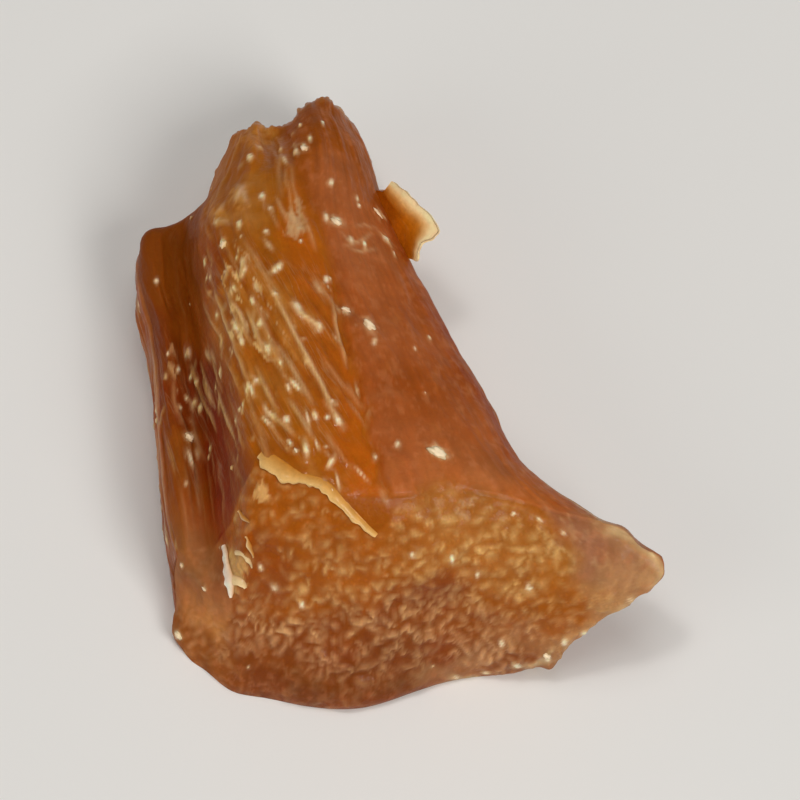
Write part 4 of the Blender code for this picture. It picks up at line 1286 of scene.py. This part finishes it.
# ---- flakes that stand off the surface --------------------------------------------------------------
def surface_at(x, y, lift=0.0):
    """The point that shows at a place in the view, lifted towards the eye by lift mm."""
    d = np.hypot(skin.across - x, skin.down - y)
    close = np.where((d < 1.8) & (skin.facing > 0.0))[0]
    if len(close) == 0:
        close = np.argsort(d)[:4]
    close = close[skin.near[close] > skin.near[close].max() - 0.7]
    share = 1.0 / (d[close] + 0.15) ** 2
    depth = (skin.near[close] * share).sum() / share.sum() + lift
    up = (VIEW_CENTRE[1] - y) / UNITS_PER_MM
    return np.array([(x - VIEW_CENTRE[0]) / UNITS_PER_MM, SIN_E * up - COS_E * depth, COS_E * up + SIN_E * depth])


flap_points, flap_faces, flap_tone, flap_gloss, flap_flow = [], [], [], [], []


def flap(rows, thickness, tones, ragged, gloss_value=0.5, blunt=0.35):
    """A thin closed scrap lofted through rows of points from root to free edge, in mm."""
    rows = np.asarray(rows, float)
    length = np.linalg.norm(rows[0, 1:] - rows[0, :-1], axis=1).sum()
    reach = np.linalg.norm(rows[1:, 0] - rows[:-1, 0], axis=1).sum() + 0.2
    n = int(np.clip(reach / 0.09, 6, 28))
    m = int(np.clip(max(length, np.linalg.norm(rows[-1, 1:] - rows[-1, :-1], axis=1).sum()) / 0.09, 8, 70))
    grid = resample(resample(rows, n, 0), m, 1)
    t = np.linspace(0.0, 1.0, n)[:, None] * np.ones((1, m))
    s = np.ones((n, 1)) * np.linspace(0.0, 1.0, m)[None, :]
    seed = int(rng.integers(1000))
    edge = noise(np.stack([s.ravel() * max(length, 0.6) * 2.4, 0.2 * t.ravel(), 0.0 * t.ravel()], axis=1), seed)
    edge = edge.reshape(n, m)
    outward = grid[-1] - grid[-2]
    outward /= np.linalg.norm(outward, axis=1, keepdims=True) + 1e-9
    grid = grid + (ragged * edge * t**3)[..., None] * outward[None]
    normal = np.cross(np.gradient(grid, axis=1), np.gradient(grid, axis=0))
    normal /= np.linalg.norm(normal, axis=2, keepdims=True) + 1e-12
    bumps = layered(grid.reshape(-1, 3) * 1.6, seed + 3, 2).reshape(n, m)
    grid = grid + (0.10 * ragged + 0.02) * bumps[..., None] * normal * t[..., None]
    thin = blunt + (1.0 - blunt) * step(0.0, 0.25, 1.0 - t) * step(0.0, 0.12, s) * step(0.0, 0.12, 1.0 - s)
    half = 0.5 * thickness * thin[..., None] * normal
    points = np.concatenate([(grid + half).reshape(-1, 3), (grid - half).reshape(-1, 3)])
    k = np.arange(n * m).reshape(n, m)
    quad = np.stack([k[:-1, :-1], k[1:, :-1], k[1:, 1:], k[:-1, 1:]], axis=-1).reshape(-1, 4)
    loop = np.concatenate([k[:-1, 0], k[-1, :-1], k[:0:-1, -1], k[0, :0:-1]])
    after = np.roll(loop, -1)
    side = np.stack([loop, loop + n * m, after + n * m, after], axis=-1)
    faces = np.concatenate([quad, quad[:, ::-1] + n * m, side[:, ::-1]])
    tri = points[faces]
    volume = (np.cross(tri[:, 1] - tri[:, 0], tri[:, 2] - tri[:, 0]) * tri[:, 0]).sum()
    if volume < 0.0:
        faces = faces[:, ::-1]
    base = sum(len(q) for q in flap_points)
    flap_points.append(points)
    flap_faces.append(faces + base)
    stops = np.linspace(0.0, 1.0, len(tones))
    tint = np.stack([np.interp(t.ravel(), stops, [c[i] for c in tones]) for i in range(3)], axis=1)
    tint = tint * (1.0 + 0.16 * bumps.ravel() + 0.10 * edge.ravel())[:, None]
    flap_tone.append(np.tile(np.clip(tint, 0.003, 0.95), (2, 1)))
    flap_gloss.append(np.full(2 * n * m, gloss_value))
    lengthwise = np.stack([t.ravel() * reach, s.ravel() * length, 0.0 * t.ravel()], axis=1)
    flap_flow.append(np.tile(lengthwise, (2, 1)))


def ribbon(path, thickness, tones, ragged, lifts=(-0.10, 0.10, 0.14)):
    """A narrow flake along places in the view: (across, down, half width), its lower edge free."""
    path = np.asarray(path, float)
    run = np.gradient(path[:, :2], axis=0)
    run /= np.linalg.norm(run, axis=1, keepdims=True)
    over = np.stack([run[:, 1], -run[:, 0]], axis=1)
    rows = []
    for share, lift in zip((1.0, 0.0, -1.0), lifts):
        rows.append([surface_at(*(q[:2] + o * q[2] * share), lift) for q, o in zip(path, over)])
    flap(rows, thickness, tones, ragged)


# chip of loose skin at the right edge: rooted inside the flesh, its curled rim thick and pale
root = [from_view(492.5, 338.5, 6.9), from_view(494.5, 343, 6.9), from_view(496.5, 347.5, 6.8),
        from_view(498.5, 352.5, 6.8), from_view(500.5, 357, 6.7), from_view(502.5, 361.5, 6.6)]
fold = [from_view(495.6, 338.6, 7.5), from_view(498.4, 343.2, 7.5), from_view(501.0, 347.4, 7.5),
        from_view(503.6, 352.2, 7.4), from_view(504.4, 356.8, 7.2), from_view(504.6, 361.4, 7.0)]
inner = [from_view(497.2, 338.8, 7.9), from_view(500.6, 343.4, 8.0), from_view(503.8, 347.0, 8.0),
         from_view(507.6, 351.0, 8.0), from_view(507.0, 356.2, 7.7), from_view(506.2, 361.8, 7.3)]
middle = [from_view(498.6, 337.4, 8.3), from_view(502.6, 341.6, 8.5), from_view(506.4, 345.6, 8.5),
          from_view(510.8, 350.6, 8.4), from_view(508.4, 356.6, 8.0), from_view(507.2, 362.2, 7.5)]
outer = [from_view(499.8, 335.8, 8.5), from_view(504.8, 339.8, 8.8), from_view(509.6, 344.2, 8.8),
         from_view(515.4, 352.6, 8.6), from_view(509.8, 356.8, 8.2), from_view(508.2, 362.8, 7.6)]
flap([root, fold, inner, middle, outer], 0.21, [shade(150, 80, 32), shade(158, 86, 32), shade(168, 92, 34),
     shade(176, 100, 38), shade(182, 108, 42), shade(190, 124, 58), shade(212, 164, 104), shade(228, 196, 148),
     shade(226, 194, 148)], 0.20, 0.4, 0.75)

# the long pale flake where the torn top layer ends above the cut
ribbon([(456.4, 426.4, 1.2), (459.5, 429.0, 2.6), (463.5, 432.0, 2.9), (468, 433.9, 2.2), (472, 434.9, 1.6),
        (476, 436.2, 1.9), (480, 439.2, 1.9), (484.6, 444, 1.6), (489.5, 448.8, 1.3), (494.8, 452.9, 0.8)],
       0.15, [shade(176, 112, 48), shade(190, 136, 72), shade(202, 156, 94), shade(210, 172, 114)], 0.20,
       (-0.08, 0.05, 0.13))
# torn white scrap at the left edge of the cut
ribbon([(444.4, 456.4, 0.4), (444.9, 459, 1.0), (445.3, 462, 0.9), (445.8, 465, 1.4), (446.3, 468, 1.8),
        (446.5, 470.6, 1.2), (446.7, 473.8, 0.4)], 0.11, [PALE_GOLD, shade(224, 202, 178), shade(230, 214, 196)],
       0.22, (-0.06, 0.12, 0.18))
ribbon([(446.0, 466.6, 0.7), (448.0, 467.8, 1.5), (450.2, 468.6, 1.1), (451.6, 470.6, 0.4)],
       0.10, [TIP_PALE, CREAM * 0.9, CREAM], 0.25, (-0.05, 0.06, 0.12))
ribbon([(448.0, 458.6, 0.4), (450.0, 459.2, 0.8), (452.2, 461.2, 0.7), (453.6, 464.0, 0.3)],
       0.09, [TIP_PALE, CREAM * 0.9, CREAM], 0.20, (-0.05, 0.06, 0.12))
ribbon([(451.8, 453.4, 0.3), (452.8, 456.4, 0.7), (454.2, 460.6, 0.3)],
       0.09, [GOLD, PALE_GOLD, CREAM], 0.14, (-0.05, 0.06, 0.10))
ribbon([(449.4, 445.0, 0.4), (450.8, 447.2, 0.8), (453.0, 449.0, 0.4)],
       0.09, [GOLD, PALE_GOLD, CREAM], 0.14, (-0.05, 0.06, 0.10))


def unit_ball(rounds):
    bm = bmesh.new()
    bmesh.ops.create_icosphere(bm, subdivisions=rounds, radius=1.0)
    points = np.array([v.co[:] for v in bm.verts])
    faces = np.array([[v.index for v in f.verts] for f in bm.faces])
    bm.free()
    return points, faces


BALLS = {rounds: unit_ball(rounds) for rounds in (2, 3)}


def fleck(k, direction, half_length, half_width, thick, rounds, paleness):
    """A dried crumb half sunk in the surface at point k, in mm, whitened on top as a painted glint."""
    ball, faces = BALLS[rounds]
    up = skin.normals[k]
    run = direction - (direction @ up) * up
    run /= np.linalg.norm(run) + 1e-9
    side = np.cross(up, run)
    seed = int(rng.integers(1000))
    lump = layered(ball * 1.3 + seed, seed, 2)
    shaped = ball * (1.0 + 0.60 * lump)[:, None]
    points = (skin.points[k] - 0.10 * thick * up + shaped[:, :1] * half_length * run
              + shaped[:, 1:2] * half_width * side + shaped[:, 2:] * thick * up)
    base = sum(len(q) for q in flap_points)
    flap_points.append(points)
    flap_faces.append(faces + base)
    share = step(0.30, 0.92, ball[:, 2] + 0.35 * lump) * paleness
    flap_tone.append(mix(np.tile(mix(tone[k], PALE_GOLD, 0.35), (len(ball), 1)), GLINT_WHITE, share))
    flap_gloss.append(np.full(len(ball), 0.7))
    flap_flow.append(points * [1.0, 0.5, 1.0])


FLECKED = [(515, 425.8), (492, 384), (481.2, 349.3), (494.8, 346.2), (432.5, 420.8), (429.0, 486.5), (551.0, 493.5),
           (443.5, 356.6), (470.3, 324.3), (484.4, 379.3)]
for x, y, half_length, half_width, turn in CRUMB_GLINTS:
    if (x, y) not in FLECKED:
        continue
    k = skin.at_view(x, y)
    s, c = math.sin(math.radians(turn)), math.cos(math.radians(turn))
    direction = np.array([s, -c * SIN_E, -c * COS_E])
    wide = half_width / UNITS_PER_MM
    fleck(k, direction, 1.15 * half_length / UNITS_PER_MM, 1.1 * wide, max(0.60 * wide, 0.06), 3, rng.uniform(0.45, 1.0))
for k, size in specks:
    direction = np.array([rng.uniform(-0.6, 0.6), 1.0, rng.uniform(-0.3, 0.3)])
    fleck(k, direction, size * rng.uniform(0.6, 1.2), size * rng.uniform(0.4, 0.7), 0.4 * size, 2, rng.uniform(0.0, 0.7))

flap_points = np.concatenate(flap_points)
flap_points[:, 2] = np.maximum(flap_points[:, 2], 0.05)
flap_zones = np.tile([0.0, 0.35, 0.0], (len(flap_points), 1))
flakes = write_mesh("ginger_flakes", flap_points, [f for part in flap_faces for f in part], np.concatenate(flap_tone),
                    flap_zones, np.concatenate(flap_gloss), np.concatenate(flap_flow), thin_flesh)
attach(flakes, "root")


# ---- floor, light and camera ------------------------------------------------------------------------
def plain_material(name, colour, roughness):
    mat = bpy.data.materials.new(name)
    mat.use_nodes = True
    surface = mat.node_tree.nodes["Principled BSDF"]
    surface.inputs["Base Color"].default_value = (*colour, 1.0)
    surface.inputs["Roughness"].default_value = roughness
    return mat


floor_mesh = bpy.data.meshes.new("floor")
bm = bmesh.new()
bmesh.ops.create_grid(bm, x_segments=1, y_segments=1, size=3.0)
bm.to_mesh(floor_mesh)
bm.free()
floor = bpy.data.objects.new("floor", floor_mesh)
floor_mesh.materials.append(plain_material("floor_paper", (0.86, 0.85, 0.83), 0.9))
bpy.context.scene.collection.objects.link(floor)


def area_light(name, place, target, size, energy, colour=(1.0, 1.0, 1.0), mirrored=True):
    light = bpy.data.lights.new(name, "AREA")
    light.shape = "SQUARE"
    light.size = size
    light.energy = energy
    light.color = colour
    obj = bpy.data.objects.new(name, light)
    obj.location = place
    obj.rotation_euler = (Vector(target) - Vector(place)).to_track_quat("-Z", "Y").to_euler()
    obj.visible_glossy = mirrored
    bpy.context.scene.collection.objects.link(obj)


area_light("key", (0.25, -0.35, 0.42), (0.0, 0.0, 0.0), 0.24, 1.62, (1.0, 0.985, 0.955))
area_light("overhead", (-0.02, -0.02, 0.62), (0.0, 0.0, 0.0), 0.32, 0.92, (1.0, 0.99, 0.97), False)
area_light("left_fill", (-0.42, -0.30, 0.30), (0.0, 0.0, 0.0), 0.35, 0.40, (1.0, 0.97, 0.93), False)
area_light("glint", (-0.10, -0.02, 0.60), (0.0, 0.0, 0.0), 0.07, 0.36, (1.0, 0.99, 0.97))

world = bpy.data.worlds.new("studio")
bpy.context.scene.world = world
world.use_nodes = True
world.node_tree.nodes["Background"].inputs["Color"].default_value = (1.0, 0.98, 0.95, 1.0)
world.node_tree.nodes["Background"].inputs["Strength"].default_value = 0.14

look_at = Vector(to_row([0.05, 0.0, 0.0])) + Vector((0.0, -COS_E, SIN_E)) * 0.004
camera_data = bpy.data.cameras.new("camera")
camera = bpy.data.objects.new("camera", camera_data)
bpy.context.scene.collection.objects.link(camera)
camera.location = look_at + Vector((0.0, -COS_E, SIN_E)) * 0.60
camera.rotation_euler = (look_at - camera.location).to_track_quat("-Z", "Y").to_euler()
camera_data.sensor_width = 36.0
camera_data.lens = 36.0 * 0.60 / (800.0 / 3.0 / UNITS_PER_MM * MM)
camera_data.clip_start = 0.01
camera_data.clip_end = 20.0
bpy.context.scene.camera = camera
bpy.context.scene.view_settings.view_transform = "Standard"
